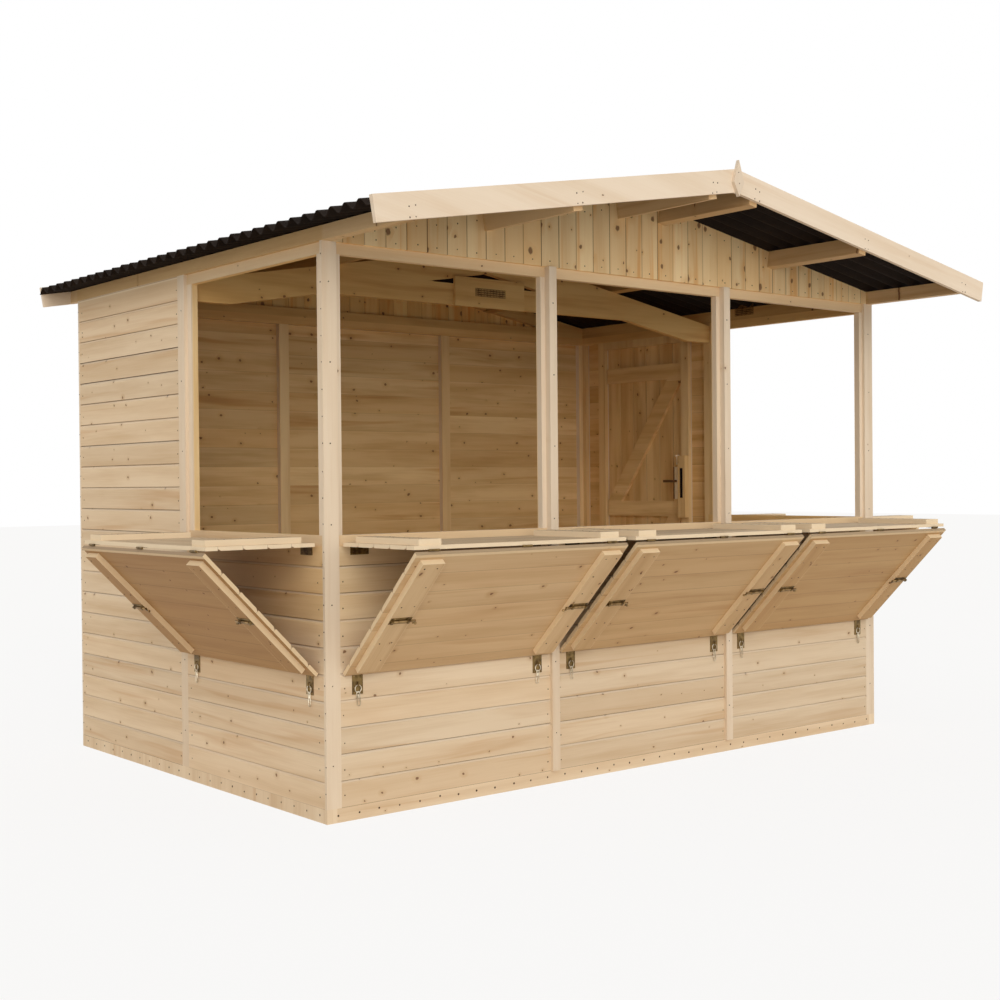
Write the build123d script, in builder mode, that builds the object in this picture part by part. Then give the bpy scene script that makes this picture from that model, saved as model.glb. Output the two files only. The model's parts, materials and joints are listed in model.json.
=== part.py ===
from build123d import *
import os
from math import asin, atan2, cos, degrees, pi, radians, sin, tan

os.makedirs("parts", exist_ok=True)

# Market stall, in millimetres. X runs along the serving front, +Y to the back, +Z up.
# The origin is on the ground, in the middle of the front cladding face.

# Wall panels: ten panels of one width, three to the front and back, two to each side
panel_width = 1050
wall_height = 2100
skirting_height = 52
skirting_thickness = 44
frame_thickness = 30
stile_width = 42
closed_stile_width = 28
rail_height = 42

# Shiplap boards, for the walls and the serving flaps
board_thickness = 14
board_cover = 97.4
cove_height = 12
cove_depth = 6
cove_sagitta = 0.6

# Serving openings
sill_height = 1040
sill_reveal = 40

# Cover strips over the panel joints and corners
batten_width = 40
batten_proud = 14
corner_strip_width = 63
side_strip_width = 57
side_strip_lap = 6

# Floor
deck_thickness = 18
joist_width = 44
joist_count = 5
butt_gap = 0.5

# Roof
roof_pitch = 10
eave_rise = 53
eave_overhang = 145
front_overhang = 534
rear_overhang = 100
sheet_thickness = 3
sheet_seat = 0.3
corrugation_height = 30
corrugation_pitch = 84
wave_steps = 8
ridge_gap = 8
ridge_cap_width = 150
ridge_cap_thickness = 3
ridge_cap_bend = 20
purlin_width = 45
purlin_depth = 75
purlin_fit = 1
mid_purlin_offset = 850
ridge_purlin_offset = 126

# Barge boards and the cover boards at the apex
barge_height = 92
barge_thickness = 18
barge_gap = 2
barge_rise = 4
finial_width = 60
finial_height = 146
finial_rise = 34
finial_shoulder = 56
finial_thickness = 15

# Roof truss
truss_position = 1065
truss_thickness = 35
rafter_depth = 120
rafter_gap = 0.5
heel_cut = 30
tie_drop = 64
tie_depth = 100
gusset_width = 430
gusset_depth = 140
gusset_drop = 5
gusset_thickness = 15
gable_clearance = 1
gable_rail = 45
gable_rail_depth = 70

# Door
door_opening = 620
door_setback = 196
door_head = 85
door_step = 8
door_gap = 6
door_lap = 12
jamb_width = 56
ledge_height = 88
ledge_thickness = 22
ledge_inset = 8
foot_ledge_height = 160
middle_ledge_height = 1025
top_ledge_drop = 203
brace_run = 110
lock_rail_width = 62
lock_rail_rise = 258
lock_width = 45
lock_height = 183
lock_thickness = 16
lock_rise = 100
lever_rise = 102
lever_length = 62
lever_depth = 7
lever_projection = 42
latch_width = 24
latch_height = 56
latch_thickness = 3
latch_gap = 12
latch_radius = 5
latch_knob_length = 12
keep_height = 350
keep_thickness = 30
keep_slot_width = 12
keep_slot_height = 160
bar_sides = 8
strap_length = 250
strap_height = 40
strap_thickness = 3
strap_knuckle_radius = 7
hinge_plate_length = 60

# Fold-down serving flaps
leaf_clearance = 6
leaf_batten_width = 95
leaf_batten_thickness = 22
leaf_batten_inset = 28
leaf_batten_end = 12
prop_batten_start = 30
prop_angle = 44.6
flap_head_gap = 10
leaf_wall_gap = 9
leaf_end_gap = 5
frame_clearance = 6
foot_clearance = 6

# Tower bolts on the props
bolt_length = 90
bolt_width = 30
bolt_plate_thickness = 2
bolt_radius = 4
bolt_sink = 0.5
bolt_tail = 18
bolt_inset = 4
bolt_strap_width = 10
bolt_strap_thickness = 2
bolt_knob_length = 14

# Hinges and hasps
plate_thickness = 2
knuckle_radius = 4
hinge_play = 0.3
hinge_length = 80
hinge_plate_height = 30
hinge_inset = 80
leaf_hinge_length = 45
leaf_hinge_reach = 30
hasp_inset = 65
hasp_width = 46
hasp_height = 75
hasp_thickness = 3
hasp_clearance = 8
staple_radius = 9
staple_wire = 2

# Sizes that follow
wall_thickness = board_thickness + frame_thickness
wall_width = 3 * panel_width + 2 * wall_thickness
wall_depth = 2 * panel_width + 2 * board_thickness
half_width = wall_width / 2
inner_half = half_width - wall_thickness
cladding_top = sill_height - sill_reveal
slope = tan(radians(roof_pitch))
steepness = cos(radians(roof_pitch))
ridge_height = wall_height + eave_rise + slope * half_width
eave_x = half_width + eave_overhang
roof_front = -front_overhang
roof_back = wall_depth + rear_overhang
half_panel = panel_width / 2
purlin_rise = purlin_depth / steepness
sheet_rise = (corrugation_height + sheet_seat) / steepness
up = Vector(0, 0, 1)


def roof_under(x):
    """Height of the top of the purlins at a distance x from the ridge line."""
    return ridge_height - slope * abs(x)


def save(piece, name):
    piece.part.label = name
    export_step(piece.part, "parts/" + name + ".step")


def block(x0, x1, y0, y1, z0, z1, mode=Mode.ADD):
    """Adds a squared timber between its faces to the part being built."""
    with BuildSketch(Plane.XY.offset(z0)) as section:
        with Locations(((x0 + x1) / 2, (y0 + y1) / 2)):
            Rectangle(x1 - x0, y1 - y0)
    extrude(section.sketch, amount=z1 - z0, mode=mode)


def shiplap_outline(low, high):
    """Draws the section of shiplap boards: x in from their outer face, y from low to high."""
    with BuildLine() as outline:
        foot = low
        while foot + board_cover + cove_height < high:
            top = foot + board_cover
            Line((0, foot), (0, top - cove_height))
            SagittaArc((0, top - cove_height), (cove_depth, top), -cove_sagitta)
            Line((cove_depth, top), (0, top))
            foot = top
        Polyline((0, foot), (0, high), (board_thickness, high), (board_thickness, low), (0, low))
    make_face(outline.edges())


def wall_boards(first, last, inwards, low, high):
    """Adds shiplap boards between two points of a wall's outer face, with their backs inwards."""
    along = Vector(*inwards).cross(up)
    run = (Vector(*last) - Vector(*first)).dot(along)
    start = first if run > 0 else last
    with BuildSketch(Plane(start, x_dir=inwards, z_dir=along)) as section:
        shiplap_outline(low, high)
    extrude(section.sketch, amount=abs(run))


# Base: bearers all round with joists between them
between_front = skirting_thickness + butt_gap
between_back = wall_depth - skirting_thickness - butt_gap
with BuildPart() as base_frame:
    for y0 in (0, wall_depth - skirting_thickness):
        block(-half_width, half_width, y0, y0 + skirting_thickness, 0, skirting_height)
    for x0 in (-half_width, half_width - skirting_thickness):
        block(x0, x0 + skirting_thickness, between_front, between_back, 0, skirting_height)
    joist_pitch = (wall_width - skirting_thickness) / (joist_count + 1)
    for index in range(joist_count):
        joist_x = (index - (joist_count - 1) / 2) * joist_pitch
        block(joist_x - joist_width / 2, joist_x + joist_width / 2, between_front, between_back,
              0, skirting_height - deck_thickness)
save(base_frame, "base_frame")

with BuildPart() as floor_deck:
    block(-half_width + skirting_thickness, half_width - skirting_thickness, skirting_thickness,
          wall_depth - skirting_thickness, skirting_height - deck_thickness, skirting_height)
save(floor_deck, "floor_deck")


# Wall frames. Each panel's frame is one outline with its clear openings cut from it.
def panel_frame(plane, left, right, holes):
    """Adds a panel's frame from left to right in a wall's plane, with holes (u0, u1, v0, v1)."""
    with BuildSketch(plane) as outline:
        with Locations(((left + right) / 2, (skirting_height + wall_height) / 2)):
            Rectangle(right - left, wall_height - skirting_height)
        for u0, u1, v0, v1 in holes:
            with Locations(((u0 + u1) / 2, (v0 + v1) / 2)):
                Rectangle(u1 - u0, v1 - v0, mode=Mode.SUBTRACT)
    extrude(outline.sketch, amount=frame_thickness)


low_rail = skirting_height + rail_height
head_rail = wall_height - rail_height
sill_rail = sill_height - rail_height
side_start = board_thickness
side_joint = side_start + panel_width
side_end = side_joint + panel_width
door_back = wall_depth - wall_thickness - door_setback
door_front = door_back - door_opening
door_top = wall_height - door_head
door_margin = door_lap + door_gap

# A wall plane has x along the wall and y up. The front and back walls' x is the stall's X or its
# reverse, and a side wall's x is the stall's Y or its reverse; z points into the stall.
front_plane = Plane((0, board_thickness, 0), x_dir=(-1, 0, 0), z_dir=(0, 1, 0))
back_plane = Plane((0, wall_depth - board_thickness, 0), x_dir=(1, 0, 0), z_dir=(0, -1, 0))
left_plane = Plane((board_thickness - half_width, 0, 0), x_dir=(0, 1, 0), z_dir=(1, 0, 0))
right_plane = Plane((half_width - board_thickness, 0, 0), x_dir=(0, -1, 0), z_dir=(-1, 0, 0))


def serving_holes(left, right):
    """The window and the clear space below its sill rail."""
    return [(left + stile_width, right - stile_width, sill_height, head_rail),
            (left + stile_width, right - stile_width, low_rail, sill_rail)]


def closed_hole(left, right):
    return [(left, right, low_rail, head_rail)]


panel_centres = (-panel_width, 0, panel_width)
with BuildPart() as front_frame:
    for centre in panel_centres:
        left, right = centre - half_panel, centre + half_panel
        panel_frame(front_plane, left, right, serving_holes(left, right))
save(front_frame, "front_frame")

with BuildPart() as back_frame:
    for centre in panel_centres:
        left, right = centre - half_panel, centre + half_panel
        hole = closed_hole(left + closed_stile_width, right - closed_stile_width)
        panel_frame(back_plane, left, right, hole)
save(back_frame, "back_frame")

side_hole_end = side_end - frame_thickness - closed_stile_width
with BuildPart() as left_frame:
    panel_frame(left_plane, side_start, side_joint, serving_holes(side_start, side_joint))
    panel_frame(left_plane, side_joint, side_end,
                closed_hole(side_joint + closed_stile_width, side_hole_end))
save(left_frame, "left_frame")

door_holes = [
    (-door_back, -door_front, skirting_height, door_top),
    (jamb_width - door_front, -side_joint - closed_stile_width, low_rail, head_rail),
    (-side_hole_end, -door_back - jamb_width, low_rail, head_rail),
]
with BuildPart() as right_frame:
    panel_frame(right_plane, -side_joint, -side_start, serving_holes(-side_joint, -side_start))
    panel_frame(right_plane, -side_end, -side_joint, door_holes)
save(right_frame, "right_frame")

# Cladding, between the cover strips
half_batten = batten_width / 2
strip_edge = half_width - corner_strip_width
bay_edges = [-strip_edge, -half_panel - half_batten, half_batten - half_panel,
             half_panel - half_batten, half_panel + half_batten, strip_edge]
with BuildPart() as front_cladding:
    for x0, x1 in zip(bay_edges[0::2], bay_edges[1::2]):
        wall_boards((x0, 0, 0), (x1, 0, 0), (0, 1, 0), skirting_height, cladding_top)
save(front_cladding, "front_cladding")

with BuildPart() as back_cladding:
    for x0, x1 in zip(bay_edges[0::2], bay_edges[1::2]):
        wall_boards((x0, wall_depth, 0), (x1, wall_depth, 0), (0, -1, 0), skirting_height, wall_height)
save(back_cladding, "back_cladding")

strip_front = side_joint - side_strip_lap
strip_back = strip_front + side_strip_width
with BuildPart() as left_cladding:
    for y0, y1, top in ((side_start, strip_front, cladding_top), (strip_back, side_end, wall_height)):
        wall_boards((-half_width, y0, 0), (-half_width, y1, 0), (1, 0, 0), skirting_height, top)
save(left_cladding, "left_cladding")

with BuildPart() as right_cladding_front:
    wall_boards((half_width, side_start, 0), (half_width, strip_front, 0), (-1, 0, 0),
                skirting_height, cladding_top)
save(right_cladding_front, "right_cladding_front")

with BuildPart() as right_cladding_beside_door:
    for y0, y1 in ((strip_back, door_front - door_margin), (door_back + door_margin, side_end)):
        wall_boards((half_width, y0, 0), (half_width, y1, 0), (-1, 0, 0), skirting_height, wall_height)
save(right_cladding_beside_door, "right_cladding_beside_door")

with BuildPart() as right_cladding_over_door:
    wall_boards((half_width, door_front - door_margin, 0), (half_width, door_back + door_margin, 0),
                (-1, 0, 0), door_top + door_margin, wall_height)
save(right_cladding_over_door, "right_cladding_over_door")

# Cover strips: proud ones over the front and back joints, flush ones on the sides and corners
with BuildPart() as joint_battens:
    for joint_x in (-half_panel, half_panel):
        for y0, y1 in ((-batten_proud, board_thickness),
                       (wall_depth - board_thickness, wall_depth + batten_proud)):
            block(joint_x - half_batten, joint_x + half_batten, y0, y1, skirting_height, wall_height)
    for x0 in (-half_width, half_width - board_thickness):
        block(x0, x0 + board_thickness, strip_front, strip_back, skirting_height, wall_height)
save(joint_battens, "joint_battens")

with BuildPart() as corner_strips:
    for x0 in (-half_width, strip_edge):
        for y0 in (0, wall_depth - board_thickness):
            block(x0, x0 + corner_strip_width, y0, y0 + board_thickness, skirting_height, wall_height)
save(corner_strips, "corner_strips")


# Gables: upright boards on a frame, up to the roof sheets, notched round the purlins
def gable_outline(bottom, reach):
    """Draws the gable's outline above a level, just under the roof, with its vertical ends."""
    with BuildLine() as outline:
        Polyline((-reach, bottom), (reach, bottom), (reach, roof_under(reach) - gable_clearance),
                 (0, ridge_height - gable_clearance), (-reach, roof_under(reach) - gable_clearance),
                 close=True)
    make_face(outline.edges())


def purlin_shape(side, distance, clearance=0.0, mode=Mode.ADD):
    """Draws the section of a purlin that lies square to the roof, under the sheets."""
    centre_height = roof_under(distance) - purlin_rise / 2
    with Locations(Location((side * distance, centre_height), -side * roof_pitch)):
        Rectangle(purlin_width + 2 * clearance, purlin_depth + 2 * clearance, mode=mode)


def across(y):
    """A plane across the stall at depth y, with x along +X, y up and z to the front."""
    return Plane((0, y, 0), x_dir=(1, 0, 0), z_dir=(0, -1, 0))


purlin_distances = (ridge_purlin_offset, mid_purlin_offset)
purlin_spots = [(side, distance) for side in (-1, 1) for distance in purlin_distances]
for gable_name, back in (("front_gable", board_thickness), ("rear_gable", wall_depth)):
    with BuildPart() as gable:
        with BuildSketch(across(back)):
            gable_outline(wall_height, inner_half)
            for side, distance in purlin_spots:
                purlin_shape(side, distance, purlin_fit, Mode.SUBTRACT)
        extrude(amount=board_thickness)
    save(gable, gable_name)

chord_top = wall_height + gable_rail
rail_rise = gable_rail_depth / steepness
purlin_room = (purlin_width * steepness + purlin_depth * sin(radians(roof_pitch))) / 2 + purlin_fit
rail_spans = [
    (butt_gap, ridge_purlin_offset - purlin_room),
    (ridge_purlin_offset + purlin_room, mid_purlin_offset - purlin_room),
    (mid_purlin_offset + purlin_room, inner_half),
]


def rail_outline(side, near, far):
    """Draws a raking rail between two distances from the ridge line, stopped on the bottom rail."""
    def top(x):
        return roof_under(x) - gable_clearance

    stop = chord_top + butt_gap
    corner = (ridge_height - gable_clearance - rail_rise - stop) / slope
    with BuildLine() as outline:
        if corner < far:
            Polyline((side * near, top(near)), (side * far, top(far)), (side * far, stop),
                     (side * corner, stop), (side * near, top(near) - rail_rise), close=True)
        else:
            Polyline((side * near, top(near)), (side * far, top(far)), (side * far, top(far) - rail_rise),
                     (side * near, top(near) - rail_rise), close=True)
    make_face(outline.edges())


with BuildPart() as gable_frames:
    for back in (wall_thickness, wall_depth - board_thickness):
        block(-inner_half, inner_half, back - frame_thickness, back, wall_height, chord_top)
        for side in (-1, 1):
            for near, far in rail_spans:
                with BuildSketch(across(back)) as rail:
                    rail_outline(side, near, far)
                extrude(rail.sketch, amount=frame_thickness)
save(gable_frames, "gable_frames")

# Purlins, between the barge boards
purlin_front = roof_front + barge_thickness
purlin_back = roof_back - barge_thickness
purlin_length = purlin_back - purlin_front
with BuildPart() as eave_purlins:
    for side in (-1, 1):
        with BuildSketch(across(purlin_back)):
            with BuildLine():
                Polyline((side * half_width, wall_height), (side * inner_half, wall_height),
                         (side * inner_half, roof_under(inner_half)),
                         (side * half_width, roof_under(half_width)), close=True)
            make_face()
        extrude(amount=purlin_length)
save(eave_purlins, "eave_purlins")

for purlin_name, distance in zip(("ridge_purlins", "mid_purlins"), purlin_distances):
    with BuildPart() as purlins:
        for side in (-1, 1):
            with BuildSketch(across(purlin_back)):
                purlin_shape(side, distance)
            extrude(amount=purlin_length)
    save(purlins, purlin_name)

# Truss in the middle of the stall, under the purlins
rafter_top = ridge_height - purlin_rise
rafter_bottom = rafter_top - rafter_depth / steepness
heel_height = rafter_bottom - slope * inner_half + heel_cut
heel_x = (rafter_bottom - heel_height) / slope
truss_back = truss_position + truss_thickness / 2
truss_front = truss_back - truss_thickness
with BuildPart() as truss_rafters:
    for side in (-1, 1):
        with BuildSketch(across(truss_back)):
            with BuildLine():
                Polyline((side * rafter_gap, rafter_top - slope * rafter_gap),
                         (side * inner_half, rafter_top - slope * inner_half),
                         (side * inner_half, heel_height), (side * heel_x, heel_height),
                         (side * rafter_gap, rafter_bottom - slope * rafter_gap), close=True)
            make_face()
        extrude(amount=truss_thickness)
save(truss_rafters, "truss_rafters")

tie_top = rafter_bottom - tie_drop
tie_bottom = tie_top - tie_depth
tie_top_x = tie_drop / slope
tie_bottom_x = (tie_drop + tie_depth) / slope
with BuildPart() as truss_tie:
    with BuildSketch(across(truss_back)):
        with BuildLine():
            Polyline((-tie_bottom_x, tie_bottom), (tie_bottom_x, tie_bottom), (tie_top_x, tie_top),
                     (-tie_top_x, tie_top), close=True)
        make_face()
    extrude(amount=truss_thickness)
save(truss_tie, "truss_tie")

gusset_bottom = tie_bottom - gusset_drop
with BuildPart() as truss_gusset:
    block(-gusset_width / 2, gusset_width / 2, truss_front - gusset_thickness, truss_front,
          gusset_bottom, gusset_bottom + gusset_depth)
save(truss_gusset, "truss_gusset")

# Barge boards and the pointed cover boards over their joints
barge_top = ridge_height + sheet_rise + barge_rise
barge_drop = barge_height / steepness
barge_end = barge_top - slope * eave_x
barge_skew = barge_height * sin(radians(roof_pitch))
for barge_name, back in (("front_barge_boards", purlin_front), ("rear_barge_boards", roof_back)):
    with BuildPart() as barge_boards:
        for side in (-1, 1):
            with BuildSketch(across(back)):
                with BuildLine():
                    Polyline((side * barge_gap / 2, barge_top - slope * barge_gap / 2),
                             (side * eave_x, barge_end),
                             (side * (eave_x - barge_skew), barge_end - barge_height * steepness),
                             (side * barge_gap / 2, barge_top - slope * barge_gap / 2 - barge_drop),
                             close=True)
                make_face()
            extrude(amount=barge_thickness)
    save(barge_boards, barge_name)

finial_tip = barge_top + finial_rise
finial_foot = finial_tip - finial_height
with BuildPart() as finials:
    for back in (roof_front, roof_back + finial_thickness):
        with BuildSketch(across(back)):
            with BuildLine():
                Polyline((0, finial_tip), (finial_width / 2, finial_foot + finial_shoulder),
                         (0, finial_foot), (-finial_width / 2, finial_foot + finial_shoulder), close=True)
            make_face()
        extrude(amount=finial_thickness)
save(finials, "finials")

# Corrugated roof sheets: a sine wave of a whole number of pitches, run down each slope
wave_count = round(purlin_length / corrugation_pitch)
wave_rise = (corrugation_height - sheet_thickness) / 2
sheet_length = (eave_x - ridge_gap / 2) / steepness


def wave_points(level):
    """One face of the sheet, in a few straight steps a wave, from the level of its troughs."""
    count = wave_count * wave_steps
    step = purlin_length / count
    return [(index * step - purlin_length / 2, level + wave_rise * (1 - cos(2 * pi * index / wave_steps)))
            for index in range(count + 1)]


with BuildPart() as roof_sheets:
    for side in (-1, 1):
        normal = Vector(side * sin(radians(roof_pitch)), 0, steepness)
        down = Vector(side * steepness, 0, -sin(radians(roof_pitch)))
        head = Vector(side * ridge_gap / 2, (purlin_front + purlin_back) / 2, roof_under(ridge_gap / 2))
        sheet_plane = Plane(head + normal * sheet_seat, x_dir=(0, side, 0), z_dir=down)
        with BuildSketch(sheet_plane):
            with BuildLine():
                Polyline(wave_points(0) + wave_points(sheet_thickness)[::-1], close=True)
            make_face()
        extrude(amount=sheet_length)
save(roof_sheets, "roof_sheets")

cap_under = ridge_height + sheet_rise + sheet_seat
cap_run = ridge_cap_width * steepness
cap_drop = ridge_cap_width * sin(radians(roof_pitch))
with BuildPart() as ridge_cap:
    with BuildSketch(across(purlin_back)):
        with BuildLine():
            FilletPolyline((-cap_run, cap_under - cap_drop), (0, cap_under),
                           (cap_run, cap_under - cap_drop), radius=ridge_cap_bend)
            offset(amount=ridge_cap_thickness, side=Side.LEFT)
        make_face()
    extrude(amount=purlin_length)
save(ridge_cap, "ridge_cap")

# Door, hung on its rear side and opening outwards. Its boards lap over the frame all round.
door_inner = half_width - board_thickness + door_gap
door_outer = door_inner + board_thickness
ledge_inner = door_inner - ledge_thickness
leaf_front = door_front - door_lap
leaf_back = door_back + door_lap
door_foot = skirting_height + door_step
pin_x = door_outer + strap_knuckle_radius
pin_y = leaf_back + door_gap / 2
with BuildPart() as door_leaf:
    block(door_inner, door_outer, leaf_front, leaf_back, door_foot, door_top + door_lap)
save(door_leaf, "door_leaf")

ledge_front = door_front + ledge_inset
ledge_back = door_back - ledge_inset
top_ledge_height = door_top - top_ledge_drop
ledge_heights = (foot_ledge_height, middle_ledge_height, top_ledge_height)
inward = Plane((door_inner, 0, 0), x_dir=(0, 1, 0), z_dir=(1, 0, 0))
lock_rail_top = middle_ledge_height + ledge_height + lock_rail_rise
with BuildPart() as door_ledges:
    for ledge in ledge_heights:
        block(ledge_inner, door_inner, ledge_front, ledge_back, ledge, ledge + ledge_height)
    for low, high in zip(ledge_heights, ledge_heights[1:]):
        with BuildSketch(inward):
            with BuildLine():
                Polyline((ledge_back, low + ledge_height), (ledge_back - brace_run, low + ledge_height),
                         (ledge_front, high), (ledge_front + brace_run, high), close=True)
            make_face()
        extrude(amount=-ledge_thickness)
    block(ledge_inner, door_inner, ledge_front, ledge_front + lock_rail_width,
          middle_ledge_height, lock_rail_top)
save(door_ledges, "door_ledges")

# Rim lock with its lever, on the lock rail, and the small upright latch above it
lock_inner = ledge_inner - lock_thickness
lock_foot = middle_ledge_height + lock_rise
lock_front = ledge_front + (lock_rail_width - lock_width) / 2
lever_height = lock_foot + lever_rise
lock_middle = lock_front + lock_width / 2
latch_foot = lock_foot + lock_height + latch_gap
latch_face = ledge_inner - latch_thickness
with BuildPart() as door_lock:
    block(lock_inner, ledge_inner, lock_front, lock_front + lock_width, lock_foot, lock_foot + lock_height)
    with BuildSketch(inward.offset(lock_inner - door_inner)):
        with Locations((lock_middle, lever_height)):
            Circle(lever_depth)
    extrude(amount=-lever_projection)
    block(lock_inner - lever_projection, lock_inner - lever_projection + lever_depth,
          lock_middle, lock_middle + lever_length, lever_height - lever_depth, lever_height + lever_depth)
    block(latch_face, ledge_inner, lock_middle - latch_width / 2, lock_middle + latch_width / 2,
          latch_foot, latch_foot + latch_height)
    with BuildSketch(Plane.XY.offset(latch_foot)):
        with Locations((latch_face - latch_radius / 2, lock_middle)):
            RegularPolygon(latch_radius, bar_sides)
    extrude(amount=latch_height)
    block(latch_face - latch_radius - latch_knob_length, latch_face, lock_middle - latch_radius,
          lock_middle + latch_radius, latch_foot + latch_height - 2 * latch_radius, latch_foot + latch_height)
save(door_lock, "door_lock")

# Keep on the front jamb: a block with a slot for the lock's bolt
frame_inner = half_width - wall_thickness
keep_foot = lock_rail_top - keep_height
slot_foot = lock_foot + (lock_height - keep_slot_height) / 2
slot_front = door_front - jamb_width / 2 - keep_slot_width / 2
with BuildPart() as lock_keep:
    block(frame_inner - keep_thickness, frame_inner, door_front - jamb_width, door_front,
          keep_foot, keep_foot + keep_height)
    block(frame_inner - keep_thickness, frame_inner, slot_front, slot_front + keep_slot_width,
          slot_foot, slot_foot + keep_slot_height, Mode.SUBTRACT)
save(lock_keep, "lock_keep")

knuckle_end = strap_knuckle_radius + hinge_play


def door_hinge_side(face, direction, length, high):
    """Adds one side of both door hinges: a strap on its face, and its half of the knuckle."""
    for ledge in (foot_ledge_height, top_ledge_height):
        foot = ledge + (ledge_height - strap_height) / 2
        middle = foot + strap_height / 2
        near, far = sorted((pin_y + direction * knuckle_end, pin_y + direction * length))
        block(face, face + strap_thickness, near, far, foot, foot + strap_height)
        low, top = (middle + hinge_play / 2, foot + strap_height) if high else (foot, middle - hinge_play / 2)
        near, far = sorted((pin_y, pin_y + direction * knuckle_end))
        block(face, door_outer + strap_thickness, near, far, low, top)
        with BuildSketch(Plane.XY.offset(low)) as knuckle:
            with Locations((pin_x, pin_y)):
                RegularPolygon(strap_knuckle_radius, bar_sides)
        extrude(knuckle.sketch, amount=top - low)


with BuildPart() as door_hinges:
    door_hinge_side(door_outer, -1, strap_length, True)
save(door_hinges, "door_hinges")

with BuildPart() as door_hinge_plates:
    door_hinge_side(half_width, 1, hinge_plate_length, False)
save(door_hinge_plates, "door_hinge_plates")

# Serving flaps. Each bay has a plane on its hinge line: x outwards, y up, z along the wall.
leaf_width = panel_width - batten_width - 2 * leaf_clearance
edge = leaf_width / 2
axis_out = knuckle_radius + plate_thickness + hinge_play
pin_height = cladding_top - plate_thickness
flap_rise = wall_height - flap_head_gap - pin_height
prop_length = flap_rise / (1 + sin(radians(prop_angle)))
counter_reach = flap_rise - prop_length
foot_reach = counter_reach + axis_out - foot_clearance
prop_lean = 90 + degrees(asin(foot_reach / (prop_length ** 2 + plate_thickness ** 2) ** 0.5))
prop_lean += degrees(atan2(plate_thickness, prop_length))
batten_near = sill_height - pin_height + frame_clearance
batten_far = head_rail - pin_height - frame_clearance

side_bay = side_joint - half_panel
bays = {
    "front_left": ((-panel_width, -axis_out, cladding_top), (0, -1, 0)),
    "front_middle": ((0, -axis_out, cladding_top), (0, -1, 0)),
    "front_right": ((panel_width, -axis_out, cladding_top), (0, -1, 0)),
    "left": ((-half_width - axis_out, side_bay, cladding_top), (-1, 0, 0)),
    "right": ((half_width + axis_out, side_bay, cladding_top), (1, 0, 0)),
}


def bay_plane(origin, outwards):
    """The bay's plane: x outwards from the wall, y up, z along the hinge."""
    return Plane(origin, x_dir=outwards, z_dir=Vector(*outwards).cross(up))


def fold_plane(bay):
    """The plane of the hinge between the leaves, with the counter's own directions."""
    return Plane(bay.from_local_coords((counter_reach, -plate_thickness, 0)), x_dir=bay.x_dir, z_dir=bay.z_dir)


def prop_plane(bay):
    """The prop leaf's own plane: x down the leaf from its hinge, y out of its inner face."""
    down = bay.x_dir * cos(radians(prop_lean)) - bay.y_dir * sin(radians(prop_lean))
    return Plane(fold_plane(bay).origin, x_dir=down, z_dir=bay.z_dir)


def slab(plane, u0, u1, v0, v1, w0, w1):
    """Adds a flat piece to the part: u and v in the plane, w across it."""
    with BuildSketch(plane.offset(w0)) as section:
        with Locations(((u0 + u1) / 2, (v0 + v1) / 2)):
            Rectangle(u1 - u0, v1 - v0)
    extrude(section.sketch, amount=w1 - w0)


def rod(plane, u, v, radius, w0, w1):
    """Adds a small round bar, of few sides, across the plane from w0 to w1."""
    with BuildSketch(plane.offset(w0)) as section:
        with Locations((u, v)):
            RegularPolygon(radius, bar_sides)
    extrude(section.sketch, amount=w1 - w0)


def leaf_boards(plane, near, far, outer):
    """Adds a leaf's shiplap boards, from near to far, with their coves on the face at v = outer."""
    start = plane.from_local_coords((0, outer, edge))
    with BuildSketch(Plane(start, x_dir=plane.y_dir, z_dir=-plane.z_dir)) as section:
        shiplap_outline(near, far)
    extrude(section.sketch, amount=leaf_width)


def leaf_battens(plane, near, far, face):
    """Adds the two battens across a leaf's boards."""
    batten_outer = edge - leaf_batten_inset
    for w0 in (-batten_outer, batten_outer - leaf_batten_width):
        slab(plane, near, far, face, face + leaf_batten_thickness, w0, w0 + leaf_batten_width)


def hinge_leaf(plane, centre, length, direction, reach, half):
    """Adds a hinge leaf that lies above the pin's line, with one knuckle on its half of the pin."""
    inner, outer = sorted((direction * (knuckle_radius + hinge_play), direction * reach))
    slab(plane, inner, outer, 0, plate_thickness, centre - length / 2, centre + length / 2)
    w0, w1 = sorted((centre + half * hinge_play / 2, centre + half * length / 2))
    rod(plane, 0, 0, knuckle_radius, w0, w1)
    neck = sorted((0, direction * (knuckle_radius + hinge_play)))
    slab(plane, neck[0], neck[1], 0, plate_thickness, w0, w1)


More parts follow.
